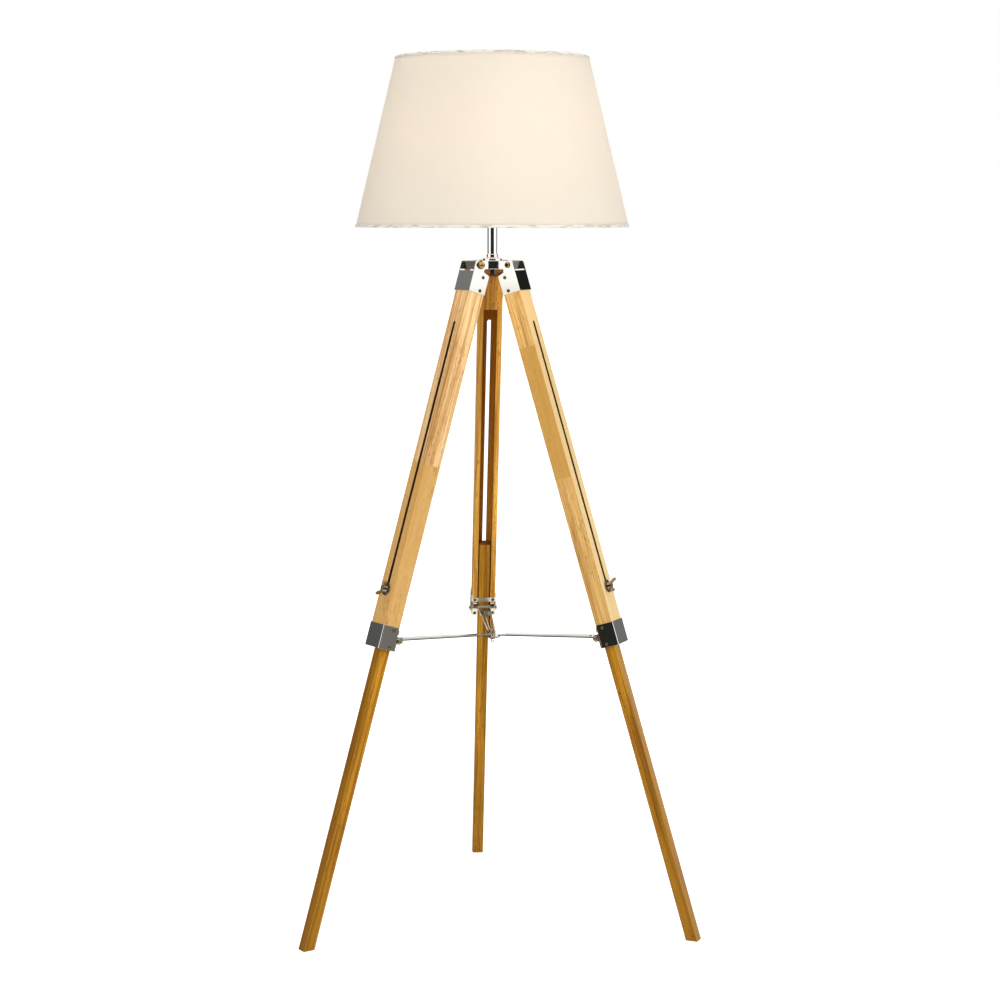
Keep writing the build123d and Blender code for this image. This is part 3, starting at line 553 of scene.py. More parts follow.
pale, tan = (1.0, 0.73, 0.38, 1), (0.50, 0.23, 0.045, 1)
straw, honey = (0.95, 0.62, 0.22, 1), (0.42, 0.18, 0.025, 1)
dusky, amber = (0.62, 0.35, 0.09, 1), (0.60, 0.33, 0.065, 1)
# The darker tone towards the bottom of the lower legs.
foot_dark_tone = (0.20, 0.085, 0.012, 1)
# Painted light and painted shade for the outer faces of the legs.
lit_face_tone, shaded_face_tone = (1.0, 0.78, 0.42, 1), (0.20, 0.08, 0.006, 1)
# golden and brown: the back leg's own deeper tone, lifted as painted light to make up for light that its
# downward-facing side does not get.
golden, brown = (1.0, 0.54, 0.09, 1), (0.38, 0.14, 0.010, 1)
oiled, umber = (0.68, 0.33, 0.030, 1), (0.17, 0.06, 0.004, 1)
# Channel tone: stain with painted shade. Slot tone: painted shade.
channel_stain_and_shade, painted_slot_shade = (0.36, 0.115, 0.004, 1), (0.032, 0.007, 0.001, 1)
upper_looks = {
    "back": (golden, brown, 0.85, (0.31, 0.12, 0.4), 0.2, channel_stain_and_shade),
    "left": (pale, tan, 0.6, (0.0, 0.0, 0.0), 0.4, channel_stain_and_shade, (-0.33, -5.0, dusky)),
    "right": (straw, honey, 0.55, (0.17, 0.23, 1.3), 0.4, channel_stain_and_shade, (-0.131, -0.352, amber), (0.68, lit_face_tone)),
}
lower_planks = {"back": (0.53, 0.27, 0.77), "left": (0.61, 0.09, 2.1), "right": (0.05, 0.41, 3.7)}
# Outer faces: painted shade on the lower left leg, painted light on the lower right.
lower_painted_face_light = {"back": None, "left": (0.5, shaded_face_tone), "right": (0.15, lit_face_tone)}


def give(node, material):
    """Gives a construction node its finish in place of the plain one it came with."""
    slots = frame["nodes"][node].data.materials
    slots.clear()
    slots.append(material)


for side in sides:
    give(f"upper_leg_{side}", wood_material(f"upper_wood_{side}", side, *upper_looks[side]))
    lower = wood_material(
        f"lower_wood_{side}", side, oiled, umber, 0.9, lower_planks[side], 0.06,
        painted_face_light=lower_painted_face_light[side], foot=0.4,
    )
    give(f"lower_leg_{side}", lower)
print("six timbers finished")

# %% [markdown]
# ### Plated and polished metal
# Caps, collars and arms are folded sheet with a bright nickel plate. Close up it
# is never a perfect mirror: a faint brushing runs one way, and fingers and
# packing have left dull smudges and hairlines. Chrome is smoother, and the small
# zinc fasteners are duller. One group of marks serves them all.

# %% Handling marks group
def build_marks_group():
    """Smudges, brushing and hairlines on metal."""
    tree, given = new_group(
        "handling_marks",
        [
            ("Place", VECTOR, None),
            ("Tint", COLOUR, (0.7, 0.7, 0.7, 1)),
            ("Smooth", VALUE, 0.1),
            ("Dull", VALUE, 0.3),
            ("Marks", VALUE, 0.3),
        ],
    )
    place = given["Place"]
    smudges = patches(tree, place, (45, 45, 45), 0.52, 0.78, 3.0, 0.5)
    hairlines = patches(tree, place, (2600, 2600, 90), 0.58, 0.72, 2.0)
    crossing = patches(tree, place, (120, 2200, 2200), 0.66, 0.76, 1.0)
    lines = calc(tree, "MAXIMUM", hairlines, crossing)
    dulling = calc(tree, "MULTIPLY_ADD", lines, 0.25, product(tree, smudges, 0.75))
    dulling = calc(tree, "MULTIPLY", dulling, given["Marks"], clamp=True)
    rough = pick(tree, dulling, given["Smooth"], given["Dull"])
    grey = blend_colours(tree, product(tree, dulling, 0.5), given["Tint"], (0.45, 0.43, 0.40, 1))
    finish_group(tree, grey, rough, lines)


build_marks_group()

# %% Metal materials
def metal_material(name, tint, smooth, dull, marks):
    """Plated metal: its roughness where clean and where smudged, and how marked it is."""
    material, tree, shader = new_material(name)
    inputs = {"Place": surface_place(tree), "Tint": tint, "Smooth": smooth, "Dull": dull, "Marks": marks}
    worn = place_group(tree, "handling_marks", inputs)
    feed(tree, shader, worn["Colour"], worn["Roughness"], bump(tree, worn["Height"], 0.000002, 0.0003))
    set_inputs(shader, Metallic=1.0)
    return material


nickel = metal_material("nickel_plate", (0.88, 0.87, 0.83, 1), 0.04, 0.16, 0.2)
chrome = metal_material("chrome", (0.90, 0.90, 0.90, 1), 0.02, 0.12, 0.25)
casting = metal_material("polished_casting", (0.88, 0.87, 0.84, 1), 0.06, 0.2, 0.45)
zinc = metal_material("bright_zinc", (0.70, 0.68, 0.63, 1), 0.07, 0.25, 0.45)
arm_nickel = metal_material("arm_nickel", (0.64, 0.63, 0.60, 1), 0.07, 0.2, 0.3)
brushed = metal_material("brushed_nickel", (0.90, 0.89, 0.86, 1), 0.34, 0.45, 0.3)
worn_zinc = metal_material("worn_zinc", (0.36, 0.31, 0.23, 1), 0.06, 0.22, 0.5)
yellow_zinc = metal_material("yellow_zinc", (0.56, 0.40, 0.18, 1), 0.03, 0.14, 0.3)
screw_steel = metal_material("screw_steel", (0.27, 0.21, 0.12, 1), 0.22, 0.36, 0.5)
# Painted shade, with some dirt, for crosses, sockets and the rims where heads meet plates.
recess_shade_and_dirt = metal_material("recess_shade_and_dirt", (0.05, 0.035, 0.02, 1), 0.45, 0.6, 0.5)
cap_metal = metal_material("bulb_cap_metal", (0.8, 0.8, 0.78, 1), 0.2, 0.4, 0.6)

give("hub", casting)
for node in ("stem", "stem_ring", "hub_flange", "holder_cup"):
    give(node, chrome)
for node in ("centre_bolt", "centre_clip"):
    give(node, zinc)
for side in sides:
    for node in ("cap", "collar", "hinge_leaves"):
        give(f"{node}_{side}", nickel)
    give(f"arm_{side}", arm_nickel)
    give(f"strap_{side}", brushed)
    give(f"washer_{side}", worn_zinc)
give("bulb_base", cap_metal)
print("metal finished")

# %% [markdown]
# ### Enamel, plastic and the lit bulb
# The shade's wire frame is dipped in white enamel, which pulls thin over the
# welds. The socket is moulded with a fine satin texture. The bulb is frosted and
# lit, so its glass carries its own soft light.

# %% Moulded and enamelled group
def build_skin_group():
    """A fine satin texture with a film of dirt."""
    tree, given = new_group(
        "fine_skin",
        [
            ("Place", VECTOR, None),
            ("Tint", COLOUR, (1, 1, 1, 1)),
            ("Scale", VALUE, 900.0),
            ("Dirt", VALUE, 0.2),
        ],
    )
    spread = add_node(
        tree, "ShaderNodeVectorMath", {0: given["Place"], 3: given["Scale"]}, operation="SCALE"
    ).outputs[0]
    grit = add_node(tree, "ShaderNodeTexNoise", {"Vector": spread, "Scale": 1.0, "Detail": 2.0}).outputs[0]
    film = patches(tree, given["Place"], (60, 60, 60), 0.45, 0.75, 3.0)
    dirt = product(tree, film, given["Dirt"])
    shaded = blend_colours(tree, dirt, given["Tint"], (0.4, 0.36, 0.3, 1))
    finish_group(tree, shaded, calc(tree, "MULTIPLY_ADD", grit, 0.2, 0.28), grit)


def skin_material(name, tint, scale, dirt, depth):
    """Enamel or moulded plastic, with a texture of this scale and depth."""
    material, tree, shader = new_material(name)
    inputs = {"Place": surface_place(tree), "Tint": tint, "Scale": scale, "Dirt": dirt}
    skin = place_group(tree, "fine_skin", inputs)
    feed(tree, shader, skin["Colour"], skin["Roughness"], bump(tree, skin["Height"], depth))
    return material


build_skin_group()
enamel = skin_material("white_enamel", (0.82, 0.81, 0.78, 1), 350.0, 0.12, 0.00008)
white_plastic = skin_material("white_plastic", (0.78, 0.77, 0.74, 1), 1800.0, 0.15, 0.00002)
dark_plastic = skin_material("dark_plastic", (0.02, 0.02, 0.02, 1), 1500.0, 0.2, 0.00003)
give("shade_frame", enamel)
give("shade_top_hoop", enamel)
give("holder_skirt", white_plastic)
give("shade_clamp", white_plastic)
give("cord_bush", dark_plastic)


# %% Bulb
def frosted_glass():
    """The lit bulb's glass, whose glow dims towards its cap."""
    material, tree, shader = new_material("frosted_lit_glass")
    place = surface_place(tree)
    inputs = {"Place": place, "Tint": (0.95, 0.93, 0.88, 1), "Scale": 2400.0, "Dirt": 0.03}
    frost = place_group(tree, "fine_skin", inputs)
    height = parts_of(tree, place)[2]
    low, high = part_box("bulb_glass")
    glow = ramp(tree, height, low.z, low.z + (high.z - low.z) * 0.45)
    warm = blend_colours(tree, glow, (0.9, 0.55, 0.28, 1), (1.0, 0.88, 0.68, 1))
    feed(tree, shader, frost["Colour"], frost["Roughness"])
    tree.links.new(warm, shader.inputs["Emission Color"])
    set_inputs(shader, Emission_Strength=2.2)
    return material


give("bulb_glass", frosted_glass())


def bulb_light():
    """The light that the bulb gives, from the middle of its globe."""
    low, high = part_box("bulb_glass")
    data = bpy.data.lights.new("bulb_light", "POINT")
    data.energy, data.shadow_soft_size, data.color = 1.14, 0.031, (1.0, 0.72, 0.58)
    place = ((low.x + high.x) / 2, (low.y + high.y) / 2, low.z + (high.z - low.z) * 0.6)
    add_light("bulb_light", data, place)


frame["nodes"]["bulb_glass"].visible_shadow = False
bulb_light()
print("bulb lit")

# %% [markdown]
# ## The shade
# The shade is one sheet of ivory cloth, bonded to a clear stiff lining, bent into
# a cone and lapped at the back. Its edges are rolled over the wire hoops in a
# narrow tape. Cloth lets some light through, so its shader mixes an ordinary
# surface with a translucent one, and the weave is drawn round the cone.

# %% Weave group
def build_weave_group():
    """Threads over and under each other, some of them thicker."""
    tree, given = new_group(
        "plain_weave",
        [
            ("Around", VALUE, 0.0),
            ("Up", VALUE, 0.0),
            ("Pitch", VALUE, 0.0006),
            ("Tint", COLOUR, (0.9, 0.85, 0.75, 1)),
        ],
    )
    turns = 2 * math.pi
    place = join_parts(tree, given["Around"], given["Up"])
    slub_warp = stretched_noise(tree, place, (1700, 22, 1), 2.0)
    slub_weft = stretched_noise(tree, place, (22, 1700, 1), 2.0)
    across = product(tree, calc(tree, "DIVIDE", given["Around"], given["Pitch"]), turns)
    along = product(tree, calc(tree, "DIVIDE", given["Up"], given["Pitch"]), turns)
    warp = calc(tree, "MULTIPLY_ADD", calc(tree, "SINE", across), 0.5, 0.5)
    weft = calc(tree, "MULTIPLY_ADD", calc(tree, "SINE", along), 0.5, 0.5)
    half_across = calc(tree, "SINE", product(tree, across, 0.5))
    half_along = calc(tree, "SINE", product(tree, along, 0.5))
    over = calc(tree, "MULTIPLY_ADD", half_across, half_along, 0.5)
    threads = pick(tree, ramp(tree, over, 0, 1), warp, weft)
    slubs = product(tree, calc(tree, "ADD", slub_warp, slub_weft), 0.5)
    tone = calc(tree, "MULTIPLY_ADD", threads, 0.06, calc(tree, "MULTIPLY_ADD", slubs, 0.12, 0.88))
    shade = add_node(tree, "ShaderNodeCombineColor", {0: tone, 1: tone, 2: tone}).outputs[0]
    colour = blend_colours(tree, 1.0, given["Tint"], shade, "MULTIPLY")
    rough = calc(tree, "MULTIPLY_ADD", threads, -0.1, 0.92)
    finish_group(tree, colour, rough, calc(tree, "MULTIPLY_ADD", slubs, 0.6, threads))


def cloth_material(name, tint, pitch, through, depth, fold_shade_and_dirt=0.0):
    """Cloth round the lamp's axis. through is the share of light that passes it, and the
    last argument is how dark its folds are painted: painted shade with some dirt."""
    material, tree, shader = new_material(name)
    local = vector_math(tree, "SUBTRACT", surface_place(tree), lamp_axis)["Vector"]
    parts = parts_of(tree, local)
    around = product(tree, calc(tree, "ARCTAN2", parts[1], parts[0]), shade_mean_radius)
    inputs = {"Around": around, "Up": parts[2], "Pitch": pitch, "Tint": tint}
    weave = place_group(tree, "plain_weave", inputs)
    # Dark patches for the folds: painted shade with some dirt.
    fold_shade_and_dirt_mask = ramp(tree, stretched_noise(tree, local, (55, 55, 300), 2.0), 0.48, 0.62, 0, fold_shade_and_dirt)
    colour = blend_colours(tree, fold_shade_and_dirt_mask, weave["Colour"], (0.42, 0.38, 0.30, 1))
    normal = bump(tree, weave["Height"], depth)
    feed(tree, shader, colour, weave["Roughness"], normal)
    set_inputs(shader, Sheen_Weight=0.15, Sheen_Roughness=0.4)
    behind = add_node(tree, "ShaderNodeBsdfTranslucent", {"Color": colour, "Normal": normal})
    mixed = add_node(tree, "ShaderNodeMixShader", {0: through})
    tree.links.new(shader.outputs[0], mixed.inputs[1])
    tree.links.new(behind.outputs[0], mixed.inputs[2])
    output = next(n for n in tree.nodes if n.type == "OUTPUT_MATERIAL")
    tree.links.new(mixed.outputs[0], output.inputs["Surface"])
    return material


# %% Shade sizes, read from the construction
cover_low, cover_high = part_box("shade_cover")
hem_low = {edge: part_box(f"shade_hem_{edge}")[0] for edge in ("bottom", "top")}
hem_high = {edge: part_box(f"shade_hem_{edge}")[1] for edge in ("bottom", "top")}
hem_radius = (hem_high["top"].z - hem_low["top"].z) / 2
hem_reach = {edge: (hem_high[edge].x - hem_low[edge].x) / 2 for edge in ("bottom", "top")}
shade_mean_radius = (hem_reach["bottom"] + hem_reach["top"]) / 2
slope = (hem_reach["bottom"] - hem_reach["top"]) / (
    hem_low["top"].z - hem_low["bottom"].z
)
cover_bottom_radius = (cover_high.x - cover_low.x) / 2
cloth_low, cloth_high = cover_low.z - hem_radius, cover_high.z + hem_radius

build_weave_group()
ivory_cloth = cloth_material("ivory_cloth", (0.93, 0.893, 0.815, 1), 0.0007, 0.33, 0.00006)
hem_cloth = cloth_material("hem_tape_cloth", (0.94, 0.92, 0.88, 1), 0.0005, 0.05, 0.00008, 0.55)


# %% Mesh helpers
def new_piece(name, vertices, faces):
    """A smooth-shaded object of these vertices and faces."""
    data = bpy.data.meshes.new(name)
    data.from_pydata(vertices, [], faces)
    data.validate()
    data.polygons.foreach_set("use_smooth", [True] * len(data.polygons))
    return add_object(name, data)


def settle(piece, material, body, slot, *nodes):
    """Gives a new piece its finish, its body, and hides the nodes it stands for; slot is not used."""
    if not piece.data.materials:
        piece.data.materials.append(material)
    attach(piece, body)
    if nodes:
        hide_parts(*nodes)
    return piece


def ring_grid(rows, columns, closed_rows=False):
    """Faces of a grid that closes round its columns, and round its rows if asked."""
    faces = []
    for row in range(rows if closed_rows else rows - 1):
        above = (row + 1) % rows
        for column in range(columns):
            after = (column + 1) % columns
            below = (row * columns + column, row * columns + after)
            faces.append((*below, above * columns + after, above * columns + column))
    return faces


def rod_faces(rows, columns, base=0):
    """Faces of a grid that closes round its columns and is shut at both ends. Its
    vertices start at base."""
    faces = ring_grid(rows, columns)
    faces.append(tuple(range(columns - 1, -1, -1)))
    faces.append(tuple((rows - 1) * columns + i for i in range(columns)))
    return [tuple(base + v for v in face) for face in faces]


def round_angles(columns):
    """That many angles, evenly round a circle."""
    return [2 * math.pi * i / columns for i in range(columns)]


# %% Shade cloth
def build_shade_cloth():
    """The cone of cloth: an outer and an inner face, a slight wave, and a lapped seam."""
    lap_angle, lap_half, lap_lift = math.radians(118), math.radians(1.6), 0.45 * MM
    thickness, wave_height = 0.9 * MM, 0.25 * MM
    columns, rows = 300, 36
    angles = round_angles(columns)
    for edge in (-1, 1):
        for past in (-0.02, 0.02):
            angles.append(lap_angle + edge * lap_half * (1 + past))
    angles.sort()
    columns = len(angles)
    vertices = []
    for inner in (0, 1):
        for row in range(rows):
            share = row / (rows - 1) if not inner else 1 - row / (rows - 1)
            height = cloth_low + (cloth_high - cloth_low) * share
            radius = cover_bottom_radius - slope * (height - cover_low.z)
            for angle in angles:
                point = Vector((math.cos(angle) * 3, math.sin(angle) * 3, height * 6))
                wave = noise.noise(point) * wave_height * math.sin(math.pi * share)
                lift = lap_lift if abs(angle - lap_angle) < lap_half else 0.0
                r = radius - 0.3 * MM + wave + lift - inner * thickness
                vertices.append(
                    (lamp_axis.x + r * math.cos(angle), lamp_axis.y + r * math.sin(angle), height)
                )
    return new_piece("shade_cloth", vertices, ring_grid(2 * rows, columns, True))


def build_hem(edge):
    """A rolled tape round one edge of the shade, a little uneven as it is drawn tight."""
    columns, section = 360, 20
    middle = (hem_low[edge].z + hem_high[edge].z) / 2
    centre = hem_reach[edge] - hem_radius
    lean = math.atan(slope)
    vertices = []
    for k in range(section):
        turn = 2 * math.pi * k / section
        across = math.copysign(abs(math.cos(turn)) ** 0.8, math.cos(turn)) * hem_radius * 0.80
        upward = math.copysign(abs(math.sin(turn)) ** 0.8, math.sin(turn)) * hem_radius * 0.84
        for angle in round_angles(columns):
            ring = Vector((math.cos(angle), math.sin(angle), 0.0))
            crease = noise.noise(Vector((ring.x * 28, ring.y * 28, turn * 0.9 + angle * 6)))
            swell = 1 + 0.05 * crease + 0.03 * noise.noise(ring * 9)
            a, u = across * swell, upward * swell
            r = centre + a * math.cos(lean) - u * math.sin(lean)
            z = middle + a * math.sin(lean) + u * math.cos(lean)
            vertices.append((lamp_axis.x + r * ring.x, lamp_axis.y + r * ring.y, z))
    return new_piece(f"shade_tape_{edge}", vertices, ring_grid(section, columns, True))


shade_cloth = settle(build_shade_cloth(), ivory_cloth, "head", "shade_cloth", "shade_cover")
tapes = [
    settle(build_hem(edge), hem_cloth, "head", "hem_tape", f"shade_hem_{edge}")
    for edge in ("bottom", "top")
]

# %% [markdown]
# The cut of a cone is a slice of a flat ring. Its two radii and its angle follow
# from the cone's own.

# %% [markdown]
# ## Small hardware
# Each kind is made once, as a small mesh with its seat at the origin and its
# head along Z, and copied to the places that the legs' frames give.

# %% Screw heads with a cross
# The first two rings make a near-black rim where the head meets the plate: painted contact shadow with
# some grime.
screw_head_profile = (
    (2.95, 0.0), (2.95, 0.08),  # a line of grime where the head meets the plate
    (2.42, 0.1), (2.38, 0.4), (2.15, 0.8), (1.7, 1.08), (1.0, 1.25), (0.4, 1.3),
)


def lathe(rings, columns):
    """Vertices of rings (radius, height, shape) in mm, turned about Z. A ring without a
    shape is round, and "hex" or "socket" makes it a hexagon."""
    vertices = []
    for radius, height, *shape in rings:
        for angle in round_angles(columns):
            reach = radius
            if shape and shape[0] in ("hex", "socket"):
                reach *= math.cos(math.pi / 6) / math.cos(angle % (math.pi / 3) - math.pi / 6)
            vertices.append(
                (reach * MM * math.cos(angle), reach * MM * math.sin(angle), height * MM)
            )
    return vertices


def cut_away(piece, cutter):
    """Takes a cutter's shape out of a piece for good, and removes the cutter."""
    modifier = piece.modifiers.new("cut", "BOOLEAN")
    modifier.operation, modifier.solver, modifier.object = "DIFFERENCE", "EXACT", cutter
    graph = bpy.context.evaluated_depsgraph_get()
    cut = bpy.data.meshes.new_from_object(piece.evaluated_get(graph))
    piece.modifiers.clear()
    piece.data = cut
    bpy.data.objects.remove(cutter)
    if not cut.polygons:
        raise RuntimeError(f"the cut left nothing of {piece.name}")
    return piece


def driver_blade(turn):
    """One blade of a driver's tip, which narrows downwards, turned about Z."""
    vertices = []
    for height, half_length, half_width in ((0.35, 0.7, 0.34), (1.8, 1.95, 0.62)):
        for x, y in ((-1, -1), (1, -1), (1, 1), (-1, 1)):
            point = Vector((x * half_length, y * half_width, height)) * MM
            point.rotate(Matrix.Rotation(turn, 3, "Z"))
            vertices.append(point)
    faces = ((3, 2, 1, 0), (4, 5, 6, 7), (0, 1, 5, 4), (1, 2, 6, 5), (2, 3, 7, 6), (3, 0, 4, 7))
    return new_piece("driver_blade", vertices, faces)


def screw_master():
    """A domed head with a cross, and painted shade with some dirt in the cross and round its edge."""
    columns = 28
    vertices = lathe(screw_head_profile, columns)
    head = new_piece("screw_master", vertices, rod_faces(len(screw_head_profile), columns))
    head.data.materials.append(screw_steel)
    head.data.materials.append(recess_shade_and_dirt)
    # The rim next to the plate takes the painted shade.
    for polygon in head.data.polygons:
        if max(head.data.vertices[v].co.z for v in polygon.vertices) < 0.11 * MM:
            polygon.material_index = 1
    # Each blade cuts on its own. As one mesh, two crossed blades run through each
    # other, and the cut then takes the whole head away.
    for turn in (0, math.pi / 2):
        blade = driver_blade(turn)
        blade.data.materials.append(recess_shade_and_dirt)
        head = cut_away(head, blade)
    return head


def gather(name, masters, places):
    """One piece with a copy of each master's mesh, moved by its matrix."""
    joined = bmesh.new()
    for master, place in zip(masters, places):
        part = master.data.copy()
        part.transform(place)
        joined.from_mesh(part)
        bpy.data.meshes.remove(part)
    data = bpy.data.meshes.new(name)
    for material in masters[0].data.materials:
        data.materials.append(material)
    joined.to_mesh(data)
    joined.free()
    return add_object(name, data)


def discard(masters):
    """Removes the masters, once their copies are made."""
    for master in masters:
        bpy.data.objects.remove(master)


def axis_place(origin, axis, spin=0.0):
    """Matrix that seats a fastener at origin with its head along axis."""
    turn = Vector(axis).normalized().to_track_quat("Z", "Y").to_matrix().to_4x4()
    return Matrix.Translation(origin) @ turn @ Matrix.Rotation(spin, 4, "Z")


# %% Where the screws sit
def islands(node):
    """The corners of each of a construction node's separate solids, as lists."""
    mesh = bmesh.new()
    mesh.from_mesh(frame["nodes"][node].data)
    bmesh.ops.remove_doubles(mesh, verts=mesh.verts, dist=0.01 * MM)
    mesh.verts.ensure_lookup_table()
    seen, found = set(), []
    for start in mesh.verts:
        if start in seen:
            continue
        stack, group = [start], []
        seen.add(start)
        while stack:
            vertex = stack.pop()
            group.append(vertex.co.copy())
            for edge in vertex.link_edges:
                other = edge.other_vert(vertex)
                if other not in seen:
                    seen.add(other)
                    stack.append(other)
        found.append(group)
    mesh.free()
    return found


def screw_places(side, spins):
    """A matrix for each screw of a leg, at its head's seat, from the plain screws."""
    matrix = legs[side]
    back = matrix.inverted()
    places = []
    for group in islands(f"leg_screws_{side}"):
        local = [back @ p for p in group]
        low = Vector(min(p[i] for p in local) for i in range(3))
        high = Vector(max(p[i] for p in local) for i in range(3))
        middle, size = (low + high) / 2, high - low
        head = screw_head_profile[-1][1] * MM
        if size.y > size.x:
            sign = 1 if middle.y > 0 else -1
            seat = Vector((middle.x, (high.y if sign > 0 else low.y) - sign * head, middle.z))
            axis = Vector((0, sign, 0))
        else:
            seat = Vector((low.x + head, middle.y, middle.z))
            axis = Vector((-1, 0, 0))
        places.append(axis_place(matrix @ seat, matrix.to_3x3() @ axis, spins.uniform(0, math.pi)))
    return places


spins = random.Random(7)
screw = screw_master()
for side in sides:
    places = screw_places(side, spins)
    screws = gather(f"cross_screws_{side}", [screw] * len(places), places)
    settle(screws, screw_steel, f"leg_{side}", "zinc_steel", f"leg_screws_{side}")
    print(side, "screws:", len(places), "faces:", len(screws.data.polygons))
discard([screw])

# %% [markdown]
# A hinge bolt is a button head with a hexagon socket, and its nut is domed so that
# no thread shows. Both are turned from rings, and a ring may be a hexagon instead
# of a circle. Their sizes are read from the plain fasteners that they replace.

# %% Turned rings and domes
def turned(name, rings, *materials):
    """A piece made of rings round Z. A ring's shape is "round", "hex", "socket" for a
    hexagon whose walls are dark, or the grime label for a dark round; both dark ones carry
    painted shade with some dirt. The second of its materials is that painted shade and dirt."""
    columns = 36
    piece = new_piece(name, lathe(rings, columns), rod_faces(len(rings), columns))
    for material in materials:
        piece.data.materials.append(material)
    shade_and_dirt_rings = {i for i, ring in enumerate(rings) if ring[2] in ("socket", "shade_and_grime")}
    for polygon in piece.data.polygons:
        if all(v // columns in shade_and_dirt_rings for v in polygon.vertices):
            polygon.material_index = 1
    piece.data.set_sharp_from_angle(angle=math.radians(35))
    return piece


def round_axis(points, origin, axis):
    """(distance along an axis, distance from it) of each point, in mm."""
    found = []
    for point in points:
        along = (point - origin).dot(axis)
        found.append((along / MM, ((point - origin) - axis * along).length / MM))
    return found


def dome_rings(radius, seat, top):
    """Rings of a dome nut with a hexagon below its dome."""
    height = top - seat
    rings = [(0.95 * radius, seat, "hex"), (radius, seat + 0.05 * height, "hex")]
    rings += [(radius, seat + 0.30 * height, "hex"), (0.87 * radius, seat + 0.38 * height, "round")]
    rings.append((0.80 * radius, seat + 0.40 * height, "round"))
    for k in range(1, 7):
        turn = math.radians(14.5 * k)
        rings.append(
            (0.80 * radius * math.cos(turn), seat + height * (0.40 + 0.60 * math.sin(turn)), "round")
        )
    return rings


# %% Hinge bolts, hinge nuts and pins
def across_leg(side):
    """The direction of a leg's hub bolt."""
    return legs[side].to_3x3() @ Vector((0, 1, 0))


def nearest_side(points):
    """The side whose hub bolt lies nearest to some points."""
    centre = sum(points, Vector()) / len(points)
    return min(sides, key=lambda side: (legs[side].translation - centre).length)


def bolt_rings(spots):
    """Rings of a hinge bolt, and where its head's seat is along the axis."""
    low, high = min(d for d, r in spots), max(d for d, r in spots)
    head = max(r for d, r in spots)
    seat = max(d for d, r in spots if r > 0.9 * head)
    shaft = max(r for d, r in spots if d > high - 0.5)
    tall = seat - low
    rings = [
        (shaft, seat - high, "round"), (shaft, 0, "round"),
        # The rings for the second material paint shade: a dark rim where the head meets the plate and dark
        # socket walls, with some grime.
        (1.15 * head, 0, "shade_and_grime"), (1.15 * head, 0.08, "shade_and_grime"), (0.97 * head, 0.1, "shade_and_grime"),
        (head, 0.14 * tall, "round"), (0.96 * head, 0.4 * tall, "round"),
        (0.88 * head, 0.75 * tall, "round"), (0.80 * head, 0.93 * tall, "round"),
        (0.72 * head, tall, "round"), (0.70 * head, 0.98 * tall, "socket"),
        (0.66 * head, 0.3 * tall, "socket"),
    ]
    return rings, seat


def nut_rings(spots):
    """Rings of a hinge nut, and where its seat is along the axis."""
    seat, top = min(d for d, r in spots), max(d for d, r in spots)
    wide = max(r for d, r in spots)
    # A dark rim under the nut: painted contact shadow with grime.
    shade_and_grime = [(1.12 * wide, 0, "shade_and_grime"), (1.12 * wide, 0.08, "shade_and_grime"), (0.96 * wide, 0.09, "shade_and_grime")]
    return shade_and_grime + dome_rings(wide, 0.1, top - seat), seat


def hub_fasteners(name, node, find_rings, way, spin):
    """One piece with a turned fastener for each plain one, facing one way along its axis."""
    places, made = [], []
    for group in islands(node):
        side = nearest_side(group)
        origin, across = legs[side].translation, across_leg(side)
        rings, seat = find_rings(round_axis(group, origin, across))
        made.append(turned(f"{name}_master", rings, yellow_zinc, recess_shade_and_dirt))
        places.append(axis_place(origin + across * seat * MM, way * across, spin))
    piece = gather(name, made, places)
    discard(made)
    return piece


def spreader_pin(side):
    """A spreader's pin, with a domed head at one end and a dome nut at the other."""
    origin = Vector(joints[f"spreader_hinge_{side}"]["pos_m"])
    across = across_leg(side)
    points = [v.co for v in frame["nodes"][f"spreader_pin_{side}"].data.vertices]
    spots = round_axis(points, origin, across)
    low, high = min(d for d, r in spots), max(d for d, r in spots)
    head, nut = max(r for d, r in spots if d < 0), max(r for d, r in spots if d > 0)
    head_seat = max(d for d, r in spots if d < 0 and r > 0.95 * head)
    nut_seat = min(d for d, r in spots if d > 0 and r > 0.9 * nut)
    shaft = min(head, nut) * 0.6
    tall = head_seat - low
    rings = [
        (0.5 * head, low, "round"), (0.78 * head, low + 0.12 * tall, "round"),
        (0.95 * head, low + 0.45 * tall, "round"), (head, low + 0.8 * tall, "round"),
        (0.98 * head, head_seat, "round"), (shaft, head_seat, "round"), (shaft, nut_seat, "round"),
    ]
    pin = turned("spreader_pin", rings + dome_rings(nut, nut_seat, high), worn_zinc)
    piece = gather(f"pin_with_dome_{side}", [pin], [axis_place(origin, across, 0.4)])
    discard([pin])
    return piece


bolts = hub_fasteners("hinge_bolts", "pivot_bolts", bolt_rings, -1, 0.3)
settle(bolts, yellow_zinc, "head", "zinc_steel", "pivot_bolts")
nuts = hub_fasteners("hinge_nuts", "pivot_nuts", nut_rings, 1, 0.2)
settle(nuts, yellow_zinc, "head", "chromed_metal", "pivot_nuts")
for side in sides:
    settle(spreader_pin(side), worn_zinc, f"leg_{side}", "zinc_steel", f"spreader_pin_{side}")
print("bolts, nuts and pins built")

# %% [markdown]
# ## Pressed lips on the arms
# A flat strip this long would bend under a knock, so the press turns a round lip
# along each edge. The lips catch light that the flat between them sends
# elsewhere, which is what draws the arm as bright and dark lines.

# %% Lips along the arms
def arm_way():
    """The arms' own direction in a leg's frame, the same for all three."""
    back = legs["left"].inverted()
    pin = back @ Vector(joints["spreader_hinge_left"]["pos_m"])
    points = [back @ v.co - pin for v in frame["nodes"]["arm_left"].data.vertices]
    reach = max(p.length for p in points)
    ends = [p for p in points if p.length > reach - 0.6 * MM]
    way = sum(ends, Vector()) / len(ends)
    way.y = 0.0
    return way.normalized()


